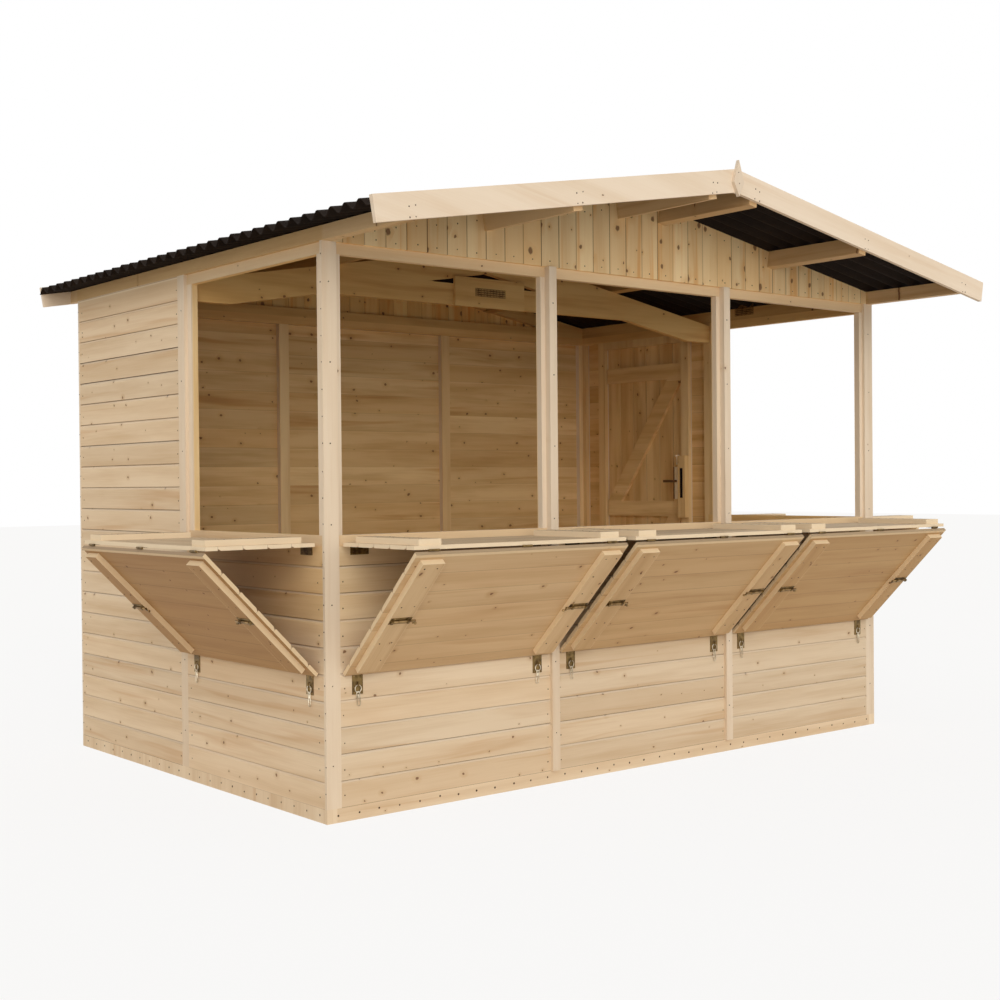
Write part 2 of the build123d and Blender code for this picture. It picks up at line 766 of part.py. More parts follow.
wall_hinge_spots = (hinge_inset - edge, edge - hinge_inset)
leaf_hinge_spots = (hinge_inset - edge, 0, edge - hinge_inset)
for bay_name, (origin, outwards) in bays.items():
    bay = bay_plane(origin, outwards)
    fold = fold_plane(bay)
    leaf_plane = prop_plane(bay)
    counter_end = counter_reach - leaf_end_gap
    with BuildPart() as counter:
        leaf_boards(bay, leaf_wall_gap, counter_end, 0)
        leaf_battens(bay, batten_near, counter_end - leaf_batten_end, board_thickness)
    save(counter, "counter_" + bay_name)

    # The counter's hinge leaves lie under its boards, at the wall and at the prop
    wall_pin = Plane(bay.origin - bay.y_dir * plate_thickness, x_dir=bay.x_dir, z_dir=bay.z_dir)
    with BuildPart() as counter_hinges:
        for spot in wall_hinge_spots:
            hinge_leaf(wall_pin, spot, hinge_length, 1, leaf_wall_gap + hinge_plate_height, 1)
        for spot in leaf_hinge_spots:
            hinge_leaf(fold, spot, leaf_hinge_length, -1, leaf_end_gap + leaf_hinge_reach, -1)
    save(counter_hinges, "counter_hinges_" + bay_name)

    batten_face = plate_thickness + board_thickness
    with BuildPart() as prop:
        leaf_boards(leaf_plane, leaf_end_gap, prop_length, plate_thickness)
        leaf_battens(leaf_plane, prop_batten_start, batten_far - counter_reach, batten_face)
    save(prop, "prop_" + bay_name)

    # The prop's hinge leaves, and its two tower bolts drawn back from the posts
    bolt_face = batten_face + leaf_batten_thickness
    bolt_top = bolt_face + bolt_plate_thickness
    middle = prop_length / 2
    with BuildPart() as prop_fittings:
        for spot in leaf_hinge_spots:
            hinge_leaf(leaf_plane, spot, leaf_hinge_length, 1, leaf_end_gap + leaf_hinge_reach, 1)
        for side in (-1, 1):
            outer_end = side * (edge - leaf_batten_inset - bolt_inset)
            inner_end = outer_end - side * bolt_length
            tail_end = inner_end - side * bolt_tail
            w0, w1 = sorted((outer_end, inner_end))
            slab(leaf_plane, middle - bolt_width / 2, middle + bolt_width / 2, bolt_face, bolt_top, w0, w1)
            rod_w = sorted((outer_end, tail_end))
            rod(leaf_plane, middle, bolt_top + bolt_radius - bolt_sink, bolt_radius, rod_w[0], rod_w[1])
            strap_top = bolt_top + 2 * bolt_radius + bolt_strap_thickness
            strap_half = bolt_radius + bolt_strap_thickness
            for strap_end in (outer_end - side * bolt_strap_width, inner_end + side * bolt_strap_width):
                w0, w1 = sorted((strap_end, strap_end + side * bolt_strap_width))
                slab(leaf_plane, middle - strap_half, middle + strap_half, bolt_face, strap_top, w0, w1)
            knob_w = sorted((tail_end, tail_end + side * 2 * bolt_radius))
            slab(leaf_plane, middle, middle + bolt_knob_length, bolt_top + bolt_radius / 2,
                 bolt_top + bolt_radius * 3 / 2, knob_w[0], knob_w[1])
    save(prop_fittings, "prop_fittings_" + bay_name)

# The wall's hinge leaves, under the counters
with BuildPart() as wall_hinges:
    for origin, outwards in bays.values():
        bay = bay_plane(origin, outwards)
        pin_v = -plate_thickness
        for spot in wall_hinge_spots:
            w0, w1 = spot - hinge_length / 2, spot + hinge_length / 2
            slab(bay, -axis_out, plate_thickness - axis_out, pin_v - hinge_plate_height, pin_v, w0, w1)
            rod(bay, 0, pin_v, knuckle_radius, w0, spot - hinge_play / 2)
            slab(bay, -axis_out, 0, pin_v - knuckle_radius, pin_v, w0, spot - hinge_play / 2)
save(wall_hinges, "wall_hinges")

# Hasp plates under the props' feet, each with its staple
foot_drop = prop_length * sin(radians(prop_lean)) + plate_thickness * (1 - cos(radians(prop_lean)))
hasp_top = -foot_drop - hasp_clearance
with BuildPart() as hasps:
    for origin, outwards in bays.values():
        bay = bay_plane(origin, outwards)
        for side in (-1, 1):
            spot = side * (edge - hasp_inset)
            w0, w1 = spot - hasp_width / 2, spot + hasp_width / 2
            slab(bay, -axis_out, hasp_thickness - axis_out, hasp_top - hasp_height, hasp_top, w0, w1)
            staple_height = hasp_top - hasp_height / 2
            with BuildSketch(bay.offset(spot - staple_wire)) as ring:
                with Locations((hasp_thickness - axis_out, staple_height)):
                    RegularPolygon(staple_radius, bar_sides)
                    RegularPolygon(staple_radius - 2 * staple_wire, bar_sides, mode=Mode.SUBTRACT)
                with Locations((hasp_thickness / 2 - axis_out - staple_radius, staple_height)):
                    Rectangle(2 * staple_radius + hasp_thickness, 2 * staple_radius, mode=Mode.SUBTRACT)
            extrude(ring.sketch, amount=2 * staple_wire)
save(hasps, "hasps")
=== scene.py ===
import bmesh
import bpy
import json
import math
import random
from mathutils import Matrix, Vector


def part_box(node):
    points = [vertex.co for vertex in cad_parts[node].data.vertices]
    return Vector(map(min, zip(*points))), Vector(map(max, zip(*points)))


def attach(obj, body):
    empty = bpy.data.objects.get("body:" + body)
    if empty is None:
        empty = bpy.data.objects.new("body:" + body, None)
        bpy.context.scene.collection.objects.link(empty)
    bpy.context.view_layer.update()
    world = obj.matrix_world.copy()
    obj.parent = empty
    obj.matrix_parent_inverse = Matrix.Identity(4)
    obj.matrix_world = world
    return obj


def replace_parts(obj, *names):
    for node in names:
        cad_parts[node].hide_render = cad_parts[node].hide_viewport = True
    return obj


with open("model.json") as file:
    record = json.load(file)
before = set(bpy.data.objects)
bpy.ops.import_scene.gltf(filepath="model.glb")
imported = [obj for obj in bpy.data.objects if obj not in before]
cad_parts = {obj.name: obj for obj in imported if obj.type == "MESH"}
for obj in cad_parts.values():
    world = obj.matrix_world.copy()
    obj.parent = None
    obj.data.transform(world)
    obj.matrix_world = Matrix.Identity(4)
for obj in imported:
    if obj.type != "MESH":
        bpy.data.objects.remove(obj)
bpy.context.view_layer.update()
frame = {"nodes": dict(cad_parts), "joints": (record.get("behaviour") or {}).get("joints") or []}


nodes = frame["nodes"]
joints = {joint["name"]: joint for joint in frame["joints"]}
dice = random.Random(11)
alongX, alongY, upwards = Vector((1, 0, 0)), Vector((0, 1, 0)), Vector((0, 0, 1))

# sizes that the pieces share, read from the frame
halfWidth, wallDepth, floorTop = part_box("base_frame")[1]
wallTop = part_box("joint_battens")[1].z
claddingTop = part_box("front_cladding")[1].z
gableLow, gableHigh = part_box("front_gable")
doorLow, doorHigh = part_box("door_leaf")
lockLow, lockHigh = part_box("door_lock")
panelWidth = 2 * gableHigh.x / 3
cladding = {"cover": 0.0974, "thickness": 0.014, "nailAt": 0.42}
framing = {"thickness": 0.030, "rail": 0.042, "sill": 1.040, "bearer": 0.0435}
sideJoint = cladding["thickness"] + panelWidth
roof = {"pitch": math.radians(10), "gableClearance": 0.001, "seat": 0.0003}
roofSlope = math.tan(roof["pitch"])
ridgeHeight = gableHigh.z + roof["gableClearance"]


def mathNode(operation):
    return lambda self, other: self.math(operation, other)


class Wire:
    # a socket that takes part in sums: each operator adds its Math node
    def __init__(self, shade, socket):
        self.shade = shade
        self.socket = socket

    def math(self, operation, *others):
        return self.shade.node("Math", dict(enumerate((self,) + others)), {"operation": operation})

    __add__ = __radd__ = mathNode("ADD")
    __sub__ = mathNode("SUBTRACT")
    __mul__ = __rmul__ = mathNode("MULTIPLY")
    __truediv__ = mathNode("DIVIDE")
    above = mathNode("GREATER_THAN")
    below = mathNode("LESS_THAN")

    def __rsub__(self, other):
        return self.shade.node("Math", {0: other, 1: self}, {"operation": "SUBTRACT"})

    def ramp(self, low, high):
        # 0 at low, 1 at high, smooth between
        inputs = {"Value": self, "From Min": low, "From Max": high}
        return self.shade.node("MapRange", inputs, {"interpolation_type": "SMOOTHSTEP"})

    def beside(self, name):
        # another output of the same node
        return Wire(self.shade, self.socket.node.outputs[name])

    def split(self, kind):
        # the three parts of a vector or a colour
        made = self.shade.node("Separate" + kind, {0: self})
        return [Wire(self.shade, output) for output in made.socket.node.outputs[:3]]


class Shade:
    # the nodes of one material, or of the world
    def __init__(self, name, owners="materials"):
        self.owner = getattr(bpy.data, owners).new(name)
        self.owner.use_nodes = True
        self.tree = self.owner.node_tree
        self.tree.nodes.clear()

    def node(self, kind, inputs={}, settings={}, output=0):
        made = self.tree.nodes.new("ShaderNode" + kind)
        for name, value in settings.items():
            setattr(made, name, value)
        for name, value in inputs.items():
            if isinstance(value, Wire):
                self.tree.links.new(value.socket, made.inputs[name])
            else:
                made.inputs[name].default_value = value
        return Wire(self, made.outputs[output]) if made.outputs else None

    def place(self):
        return self.node("TexCoord", output="Object").split("XYZ")

    def vector(self, x, y, z):
        return self.node("CombineXYZ", {0: x, 1: y, 2: z})

    def noise(self, spot, scale, detail=2.0, roughness=0.5):
        inputs = {"Vector": spot, "Scale": scale, "Detail": detail, "Roughness": roughness}
        return self.node("TexNoise", inputs)

    def draw(self, seed):
        # three random numbers for each whole value of the seed
        return self.node("TexWhiteNoise", {"W": seed}, {"noise_dimensions": "1D"}, "Color").split("Color")

    def mix(self, share, first, second, blend="MIX"):
        settings = {"data_type": "RGBA", "blend_type": blend}
        return self.node("Mix", {0: share, 6: first, 7: second}, settings, 2)

    def surface(self, inputs, bump, depth):
        inputs["Normal"] = self.node("Bump", {"Height": bump, "Distance": depth, "Strength": 1.0})
        return self.close(self.node("BsdfPrincipled", inputs))

    def close(self, shader, kind="Material"):
        self.node("Output" + kind, {"Surface": shader})
        return self.owner


def tone(red, green, blue):
    # a paint-chart colour, 0 to 255, as the shader's linear colour
    def linear(level):
        share = level / 255
        return share / 12.92 if share <= 0.04045 else ((share + 0.055) / 1.055) ** 2.4
    return (linear(red), linear(green), linear(blue), 1.0)


spruce = {
    "light": tone(235, 214, 184), "dark": tone(204, 171, 129), "board": tone(222, 192, 153),
    # lap: the colour of the painted highlight under each board's lap
    "knot": tone(112, 70, 38), "line": tone(92, 60, 32), "lap": tone(250, 236, 214),
    # inner and deep: painted shade and warm bounce light on faces that look into the stall
    "inner": (1.13, 1.01, 0.70, 1.0), "deep": tone(206, 181, 129),  # what darkens faces that look inwards
    "rings": 46, "fibre": 0.22, "streaks": 0.40, "boardChange": 0.5, "dimmer": 0.10, "quiet": 0.7,
    "knotRoom": 0.10, "knotShare": 0.40, "knotSize": 0.0046, "roughness": 0.64, "bump": 0.0002,
}


def timber(light, dark, board, **others):
    # spruce in other tones, with what else sets it apart
    return dict(spruce, light=tone(*light), dark=tone(*dark), board=tone(*board), **others)


# shelter: a warmer, darker tint that paints the shade on the boards under the counters
frontSpruce = dict(spruce, shelter=(1.0, 0.94, 0.80, 1.0))
sideSpruce = timber((238, 214, 181), (204, 169, 124), (223, 190, 147), shelter=(1.03, 0.94, 0.74, 1.0))
rearSpruce = dict(spruce, knotShare=0.55, knotSize=0.0054, streaks=0.75, dimmer=0.16)
shadedSpruce = timber((238, 212, 168), (204, 164, 112), (218, 182, 132), inner=(1.04, 0.94, 0.66, 1.0))
# purlins: darker, warmer tones that paint the shade of the roof space
purlinSpruce = timber((226, 194, 148), (188, 148, 100), (202, 164, 114), inner=(0.94, 0.86, 0.62, 1.0))
# rail: a warmer, darker tint on the frames' level rails, painted shade as under the gable's overhang
paleSpruce = timber((240, 222, 198), (218, 190, 156), (230, 207, 176), rail=(0.98, 0.88, 0.70, 1.0),
                    knotShare=0.12, streaks=0.15)
palePine = timber((240, 224, 204), (218, 193, 162), (230, 208, 180), knotShare=0.24, streaks=0.22)
# the gable's more golden tones are painted warm shade under the roof's overhang; its knots and streaks are its
# own
gableSpruce = timber((252, 224, 175), (228, 182, 120), (240, 199, 140), boardChange=0.8, streaks=0.7,
                     knotShare=0.62, knotSize=0.0100, dimmer=0.14)
counterSpruce = timber((232, 209, 176), (190, 157, 116), (214, 182, 142), fibre=0.5, cut=tone(240, 220, 188))
leafSpruce = timber((222, 189, 145), (190, 149, 102), (205, 165, 118), boardChange=0.3, streaks=0.30,
                    knotShare=0.34, knotSize=0.005, dimmer=0.06, cut=tone(232, 208, 170))
# each prop's tint: partly its own tone, partly painted shade on props that face away from the light
propToneAndShade = {"front_left": (0.96, 0.98, 1.0, 1), "front_middle": (0.87, 0.85, 0.80, 1),
             "front_right": (0.79, 0.73, 0.62, 1), "left": (0.64, 0.53, 0.38, 1),
             "right": (0.86, 0.83, 0.78, 1)}

# the noises of the grain: how far each is drawn out along it, and how fine it is across it
layers = {
    "figure": {"long": 0.35, "fine": 5.5, "scale": 1.6, "detail": 2.5, "roughness": 0.5},
    "fibre": {"long": 3.0, "fine": 210.0, "scale": 1.0, "detail": 3.0, "roughness": 0.6},
    "mottle": {"long": 1.2, "fine": 14.0, "scale": 1.3, "detail": 3.0, "roughness": 0.6},
    "streak": {"long": 0.9, "fine": 22.0, "scale": 1.0, "detail": 2.0, "roughness": 0.5},
}
grain = {
    "boardStep": 1.37, "panelStep": 17.3, "turnedStep": 5.3, "shiftLong": 23.0, "shiftAcross": 3.0,
    "ringWave": 7.0, "bendWave": 1.6, "streakWave": 4.0, "streakEdge": (0.56, 0.74),
    "ringShare": 0.25, "fibreShare": 2.0, "mottleShare": 1.2, "mottleMiddle": 0.42, "bendShare": 0.25,
    "bendDark": 0.22, "knotDark": 0.85, "cutPale": 0.8, "fibreRough": 0.12,
    "fibreRise": 0.6, "ringRise": 0.4, "knotRise": 0.5,
    "innerEdge": (0.4, 0.75), "innerMottle": 0.25, "innerChange": 0.2,
}
knots = {"warpScale": 55.0, "warpLong": 0.012, "warpAcross": 0.008, "long": 0.8, "least": 0.3,
         "edge": (0.7, 1.2), "bendEdge": (0.5, 4.5)}
seams = {"core": 0.4, "least": 0.5, "lapFrom": 0.5, "lapTo": 1.6, "lapShare": 0.45}


def measure(parts, direction):
    # the distance along a direction, from the three coordinates
    total = None
    for wire, share in zip(parts, direction):
        if abs(share) > 1e-6:
            term = wire * share
            total = term if total is None else total + term
    return total


def knotted(shade, look, length, width, depth):
    # two masks: the knots, and the grain that bends round them
    warp = shade.noise(shade.vector(length, width, depth), knots["warpScale"]) - 0.5
    cells = shade.vector(length * knots["long"] + warp * knots["warpLong"],
                         width + warp * knots["warpAcross"], 0.0)
    inputs = {"Vector": cells, "Scale": 1.0 / look["knotRoom"]}
    distance = shade.node("TexVoronoi", inputs, {"voronoi_dimensions": "2D"}, "Distance")
    drawn = distance.beside("Color").split("Color")
    chosen = drawn[0].below(look["knotShare"])
    size = look["knotSize"] * (knots["least"] + drawn[1])
    reach = distance * look["knotRoom"] / size
    return [chosen * (1.0 - reach.ramp(*knots[edge])) for edge in ("edge", "bendEdge")]


def seamed(shade, look, boards, colour, phase, share, change):
    # the dark joints between boards, and a painted highlight on the slope of a board's top edge under the next
    # one's lap
    pitch, line = boards["pitch"], boards["line"]
    edge = (phase.math("FRACT") - 0.5).math("ABSOLUTE") * pitch
    seam = edge.ramp(pitch / 2 - line, pitch / 2 - line * seams["core"])
    dark = seam * share * (boards["depth"] * (seams["least"] + change))
    colour = shade.mix(dark, colour, look["line"])
    # painted highlight on the upward slope under each lap
    if "lap" in boards:
        fall = (1.0 - phase.math("FRACT")) * pitch
        lit = fall.ramp(line, boards["lap"] * seams["lapFrom"])
        lit = lit * (1.0 - fall.ramp(boards["lap"], boards["lap"] * seams["lapTo"]))
        colour = shade.mix(lit * share * seams["lapShare"], colour, look["lap"])
    return colour


def wood(name, look, along, across, boards=None, seed=0.0, panels=None, turned=None, inside=None, ends=None):
    # planed timber with its grain along one direction, and boards side by side across it
    shade = Shade(name)
    parts = shade.place()
    length, width = measure(parts, along), measure(parts, across)
    depth = measure(parts, Vector(along).cross(Vector(across)))
    number, fade, upright = seed, 1.0, 1.0
    if turned:
        # members that run the other way
        flip = turned(parts)
        upright = 1.0 - flip
    if boards:
        phase = (width - boards["start"]) / boards["pitch"]
        number = phase.math("FLOOR") * grain["boardStep"] * upright + seed
    if panels:
        panel = ((length - panels["start"]) / panels["pitch"]).math("FLOOR")
        number = number + panel * grain["panelStep"]
        # each panel a little darker than the one before it along the wall: painted shade
        fade = 1.0 - panel * panels["fade"]
    if turned:
        number = number + flip * grain["turnedStep"]
        length, width = length + (width - length) * flip, width + (length - width) * flip
    one, two, three = shade.draw(number)
    length = length + one * grain["shiftLong"]
    width = width + two * grain["shiftAcross"]
    knot, bend = knotted(shade, look, length, width, depth)

    def layer(kind, drift=0.0):
        values = layers[kind]
        spot = shade.vector(length * values["long"], width * values["fine"] + drift, depth * values["fine"])
        return shade.noise(spot, values["scale"], values["detail"], values["roughness"])

    figure, fibre, mottle = layer("figure"), layer("fibre"), layer("mottle")
    streak = layer("streak", figure * grain["streakWave"]).ramp(*grain["streakEdge"])
    rings = width * look["rings"] + figure * grain["ringWave"] + bend * grain["bendWave"]
    rings = rings.math("SINE") * 0.5 + 0.5
    rings = rings * rings
    mark = rings * grain["ringShare"] + (fibre - 0.5) * look["fibre"] * grain["fibreShare"]
    mark = mark + (mottle - grain["mottleMiddle"]) * grain["mottleShare"] + bend * grain["bendShare"]
    mark = mark.math("MAXIMUM", 0.0).math("MINIMUM", 1.0)
    colour = shade.mix(mark, look["light"], look["dark"])
    colour = shade.mix(three * three * look["boardChange"], colour, look["board"])
    colour = shade.mix(streak * look["streaks"], colour, look["board"], "MULTIPLY")
    # painted shade: the rails take a warmer, darker tint
    if turned and "rail" in look:
        colour = shade.mix(flip, colour, look["rail"], "MULTIPLY")
    # a piece's own tint; on the props partly painted shade
    if "depth" in look:
        colour = shade.mix(1.0, colour, look["depth"], "MULTIPLY")
    dim = (1.0 - one * look["dimmer"]) * fade
    colour = shade.mix(1.0, colour, shade.vector(dim, dim, dim), "MULTIPLY")
    colour = shade.mix(bend * grain["bendDark"], colour, look["dark"])
    colour = shade.mix(knot * grain["knotDark"], colour, look["knot"])
    if ends:
        colour = shade.mix(ends(parts, flip) * grain["cutPale"], colour, look["cut"])
    # painted shade on the outside boards under the counters
    if "shelter" in look:
        colour = shade.mix(sheltered(parts), colour, look["shelter"], "MULTIPLY")
    mask = insideOf(parts, inside) if inside else 0.0
    if boards and "line" in boards:
        share = (1.0 - mask * look["quiet"]) * upright
        colour = seamed(shade, look, boards, colour, phase, share, one)
    # faces inside the stall get a warmer, darker, mottled tone: painted shade and warm bounce light
    if inside:
        innerShadeVariation = mottle.ramp(*grain["innerEdge"]) * grain["innerMottle"] + three * grain["innerChange"]
        innerShade = shade.mix(innerShadeVariation, look["inner"], look["deep"], "MULTIPLY")
        colour = shade.mix(mask, colour, shade.mix(1.0, colour, innerShade, "MULTIPLY"))
    height = fibre * grain["fibreRise"] - rings * grain["ringRise"] - knot * grain["knotRise"]
    roughness = look["roughness"] + fibre * grain["fibreRough"]
    return shade.surface({"Base Color": colour, "Roughness": roughness}, height, look["bump"])


steel = {"stainScale": 38.0, "stainEdge": (0.35, 0.7), "gritScale": 240.0, "gritRough": 0.2, "bump": 0.0002}
lockCase = {"strip": 0.034, "depth": 0.0165, "latch": 0.060, "paintedHighlight": tone(250, 238, 212),
            "lever": tone(104, 76, 46)}
sheet = {"dark": tone(24, 16, 11), "pale": tone(36, 26, 19), "grit": tone(64, 52, 42), "cloudScale": 3.0,
         "cloudEdge": (0.3, 0.75), "gritScale": 900.0, "gritEdge": (0.45, 0.8), "gritShare": 0.3,
         "fibreLong": 22.0, "fibreFine": 90.0, "fibreRise": 0.7, "roughness": 0.8, "fibreRough": 0.15,
         "specular": 0.15, "bump": 0.0006}


def metal(name, colour, darker, roughness, metallic=0.85, litPlaces=None):
    # stained metal, and, where given, places on it with painted highlight and painted shade
    shade = Shade(name)
    parts = shade.place()
    spot = shade.vector(*parts)
    stain = shade.noise(spot, steel["stainScale"], 4.0, 0.6).ramp(*steel["stainEdge"])
    grit = shade.noise(spot, steel["gritScale"])
    tint = shade.mix(stain, tone(*colour), tone(*darker))
    for mask, litTone in litPlaces(parts) if litPlaces else ():
        tint = shade.mix(mask, tint, litTone)
    inputs = {"Base Color": tint, "Roughness": roughness + grit * steel["gritRough"], "Metallic": metallic}
    return shade.surface(inputs, grit, steel["bump"])


def lockLightAndShade(parts):
    # painted highlights on the case's edge strip and on the latch over it, and painted shade on the lever
    # before it
    return ((parts[1].below(lockLow.y + lockCase["strip"]), lockCase["paintedHighlight"]),
            (parts[0].below(lockHigh.x - lockCase["depth"]), lockCase["lever"]),
            (parts[2].above(lockHigh.z - lockCase["latch"]), lockCase["paintedHighlight"]))


def bitumen(name):
    shade = Shade(name)
    x, y, z = shade.place()
    spot = shade.vector(x, y, z)
    cloud = shade.noise(spot, sheet["cloudScale"], 5.0, 0.62).ramp(*sheet["cloudEdge"])
    grit = shade.noise(spot, sheet["gritScale"])
    fine = sheet["fibreFine"]
    fibre = shade.noise(shade.vector(x * sheet["fibreLong"], y * fine, z * fine), 1.0, 3.0)
    tint = shade.mix(cloud, sheet["dark"], sheet["pale"])
    grains = grit.ramp(*sheet["gritEdge"]) * sheet["gritShare"]
    inputs = {"Base Color": shade.mix(grains, tint, sheet["grit"]),
              "Roughness": sheet["roughness"] + fibre * sheet["fibreRough"],
              "Specular IOR Level": sheet["specular"]}
    return shade.surface(inputs, grit + fibre * sheet["fibreRise"], sheet["bump"])


# how deep behind the cladding's outer face each piece turns to its indoor look: the painted shade and warm
# bounce light of faces inside the stall
depths = {"cladding": (0.006, 0.008), "frame": (0.038, 0.0435), "sideFrame": (0.016, 0.024),
          "purlins": (-0.02, 0.02), "gable": (0.002, 0.012), "door": (0.0, 0.006), "wholly": (-0.9, -0.8)}
# the heights where the painted shade under the counters lies, and how it fades out at the side joint
shelterZone = {"low": 0.56, "high": 0.80, "fade": 0.02}


def insideOf(parts, piece):
    # 1 on faces that look into the stall
    depth = (halfWidth - parts[0].math("ABSOLUTE")).math("MINIMUM", parts[1])
    return depth.math("MINIMUM", wallDepth - parts[1]).ramp(*depths[piece])


def rails(parts):
    # the frames' level members: the foot and head rails, and the serving panels' sill rails
    sill = parts[2].above(framing["sill"] - framing["rail"]) * parts[2].below(framing["sill"])
    ends = parts[2].below(floorTop + framing["rail"]) + parts[2].above(wallTop - framing["rail"])
    return ends + sill * parts[1].below(sideJoint)


def sideBearers(parts):
    return parts[0].math("ABSOLUTE").above(halfWidth - framing["bearer"])


def sheltered(parts):
    # 1 on the outside boards just under the counters, which get a warmer, darker tone: painted shade under the
    # counters
    under = parts[2].ramp(shelterZone["low"], shelterZone["high"]) * parts[2].below(framing["sill"])
    under = under * (1.0 - parts[1].ramp(sideJoint - shelterZone["fade"], sideJoint))
    return under * (1.0 - insideOf(parts, "cladding"))


gableBoards = {"width": 0.0955, "vee": 0.0022, "gap": 0.0003}
doorBoards = {"count": 6, "vee": 0.0025, "gap": 0.0002}
doorPitch = (doorHigh.y - doorLow.y) / doorBoards["count"]
downSlope = Vector((math.cos(roof["pitch"]), 0, -math.sin(roof["pitch"])))
slopeUp = Vector((math.sin(roof["pitch"]), 0, math.cos(roof["pitch"])))


def rows(start, pitch, **joint):
    # boards or members side by side, with the dark joint between boards
    return {"start": start, "pitch": pitch, **joint}


def shiplap(name, look, along, seed, start, fade=0.0):
    boards = rows(floorTop, cladding["cover"], line=0.0014, depth=0.7, lap=0.006)
    return wood(name, look, along, upwards, boards, seed, rows(start, panelWidth, fade=fade),
                inside="cladding")


def paint(material, *names):
    for name in names:
        nodes[name].data.materials.clear()
        nodes[name].data.materials.append(material)
    return material


gableJoints = rows(0.0, gableBoards["width"], line=0.0032, depth=0.5)
doorJoints = rows(doorLow.y, doorPitch, line=0.0032, depth=0.9)
paint(shiplap("shiplap_front", frontSpruce, alongX, 3.0, -1.5 * panelWidth, 0.045), "front_cladding")
paint(shiplap("shiplap_back", rearSpruce, alongX, 7.0, -1.5 * panelWidth), "back_cladding")
paint(shiplap("shiplap_side", sideSpruce, alongY, 41.0, cladding["thickness"]),
      "left_cladding", "right_cladding_front", "right_cladding_beside_door", "right_cladding_over_door")
paint(wood("framing_front", paleSpruce, upwards, alongX, rows(-0.2625, 0.525), 5.0, turned=rails,
           inside="frame"), "front_frame", "back_frame")
paint(wood("framing_side", paleSpruce, upwards, alongY, rows(-0.1, 0.25), 9.0, turned=rails,
           inside="sideFrame"), "left_frame", "right_frame")
paint(wood("cover_strips", paleSpruce, upwards, alongX, rows(-0.15, 0.3), 15.0),
      "joint_battens", "corner_strips")
paint(wood("purlin_timber", purlinSpruce, alongY, alongX, rows(0.0, 0.44), 21.0, inside="purlins"),
      "eave_purlins", "mid_purlins", "ridge_purlins")
paint(wood("truss_timber", shadedSpruce, alongX, upwards, seed=27.0, inside="wholly"),
      "truss_rafters", "truss_tie", "gable_frames")
paint(wood("gusset_board", shadedSpruce, alongX, upwards, seed=29.0, inside="wholly"), "truss_gusset")
paint(wood("bearer_timber", spruce, alongX, upwards, seed=33.0, turned=sideBearers), "base_frame")
paint(wood("floor_boards", spruce, alongX, alongY, rows(0.044, 0.12, line=0.002, depth=0.5), 37.0,
           inside="wholly"), "floor_deck")
paint(wood("door_ledges", spruce, alongY, upwards, rows(0.0, 0.3), 61.0, inside="wholly"), "door_ledges")
paint(wood("keep_timber", spruce, upwards, alongY, seed=63.0, inside="wholly"), "lock_keep")
paint(wood("barge_boards", palePine, downSlope, slopeUp, seed=71.0),
      "front_barge_boards", "rear_barge_boards")
paint(wood("finial_boards", palePine, upwards, alongX, seed=75.0), "finials")
paint(metal("lock_steel", (150, 112, 68), (112, 80, 46), 0.42, 0.25, lockLightAndShade), "door_lock")
passivated = paint(metal("passivated_steel", (142, 116, 70), (92, 72, 44), 0.36),
                   "door_hinges", "door_hinge_plates", "wall_hinges", "hasps")
looks = {
    "gable": paint(wood("gable_boards", gableSpruce, upwards, alongX, gableJoints, 51.0, inside="gable"),
                   "front_gable", "rear_gable"),
    "door": paint(wood("door_boards", spruce, upwards, alongY, doorJoints, 57.0, inside="door"),
                  "door_leaf"),
    "roof": paint(bitumen("bitumen_sheet"), "roof_sheets", "ridge_cap"),
    "zinc": metal("bright_zinc", (172, 142, 96), (98, 72, 42), 0.36),
    "plate": metal("nail_plate_steel", (150, 116, 70), (84, 58, 32), 0.40),
    # dark steel that paints the shade inside the keep's slot
    "slotShadeTray": metal("slot_shade_steel", (38, 24, 16), (24, 15, 10), 0.6, 0.3),
    "hook": metal("hook_steel", (232, 220, 196), (158, 136, 104), 0.26),
    "nail": metal("nail_heads", (84, 58, 38), (50, 34, 22), 0.6, 0.3),
}
print("materials")


class Bay:
    # a serving bay's pins, and the directions out of the wall, along it, down its prop and off its face
    def __init__(self, name):
        self.name = name
        foldJoint = joints["prop_" + name + "_hinge"]
        self.wallPin = Vector(joints["counter_" + name + "_hinge"]["pos_m"])
        self.foldPin = Vector(foldJoint["pos_m"])
        self.reach = (self.foldPin - self.wallPin).length
        self.out = (self.foldPin - self.wallPin).normalized()
        self.along = self.out.cross(upwards)
        lean = math.radians(foldJoint["range_deg"][1])
        self.down = self.out * math.cos(lean) - upwards * math.sin(lean)
        self.face = self.along.cross(self.down)

    def onProp(self, down, face, along):
        return self.foldPin + self.down * down + self.face * face + self.along * along

    def onCounter(self, out, rise, along):
        return self.wallPin + self.out * out + upwards * rise + self.along * along


bays = [Bay(name) for name in ("front_left", "front_middle", "front_right", "left", "right")]
leaf = {"wallGap": 0.009, "foldGap": 0.005, "boards": 0.014, "battens": 0.022, "plate": 0.002,
        "half": 0.499, "battenInset": 0.028, "battenWidth": 0.095, "skin": 0.0012, "foldEdge": 0.014,
        "margin": 0.0005, "propBatten": 0.030, "counterBatten": 0.017, "line": 0.0013, "lineDepth": 0.42,
        "counterSeed": 101.0, "propSeed": 151.0, "seedStep": 7}


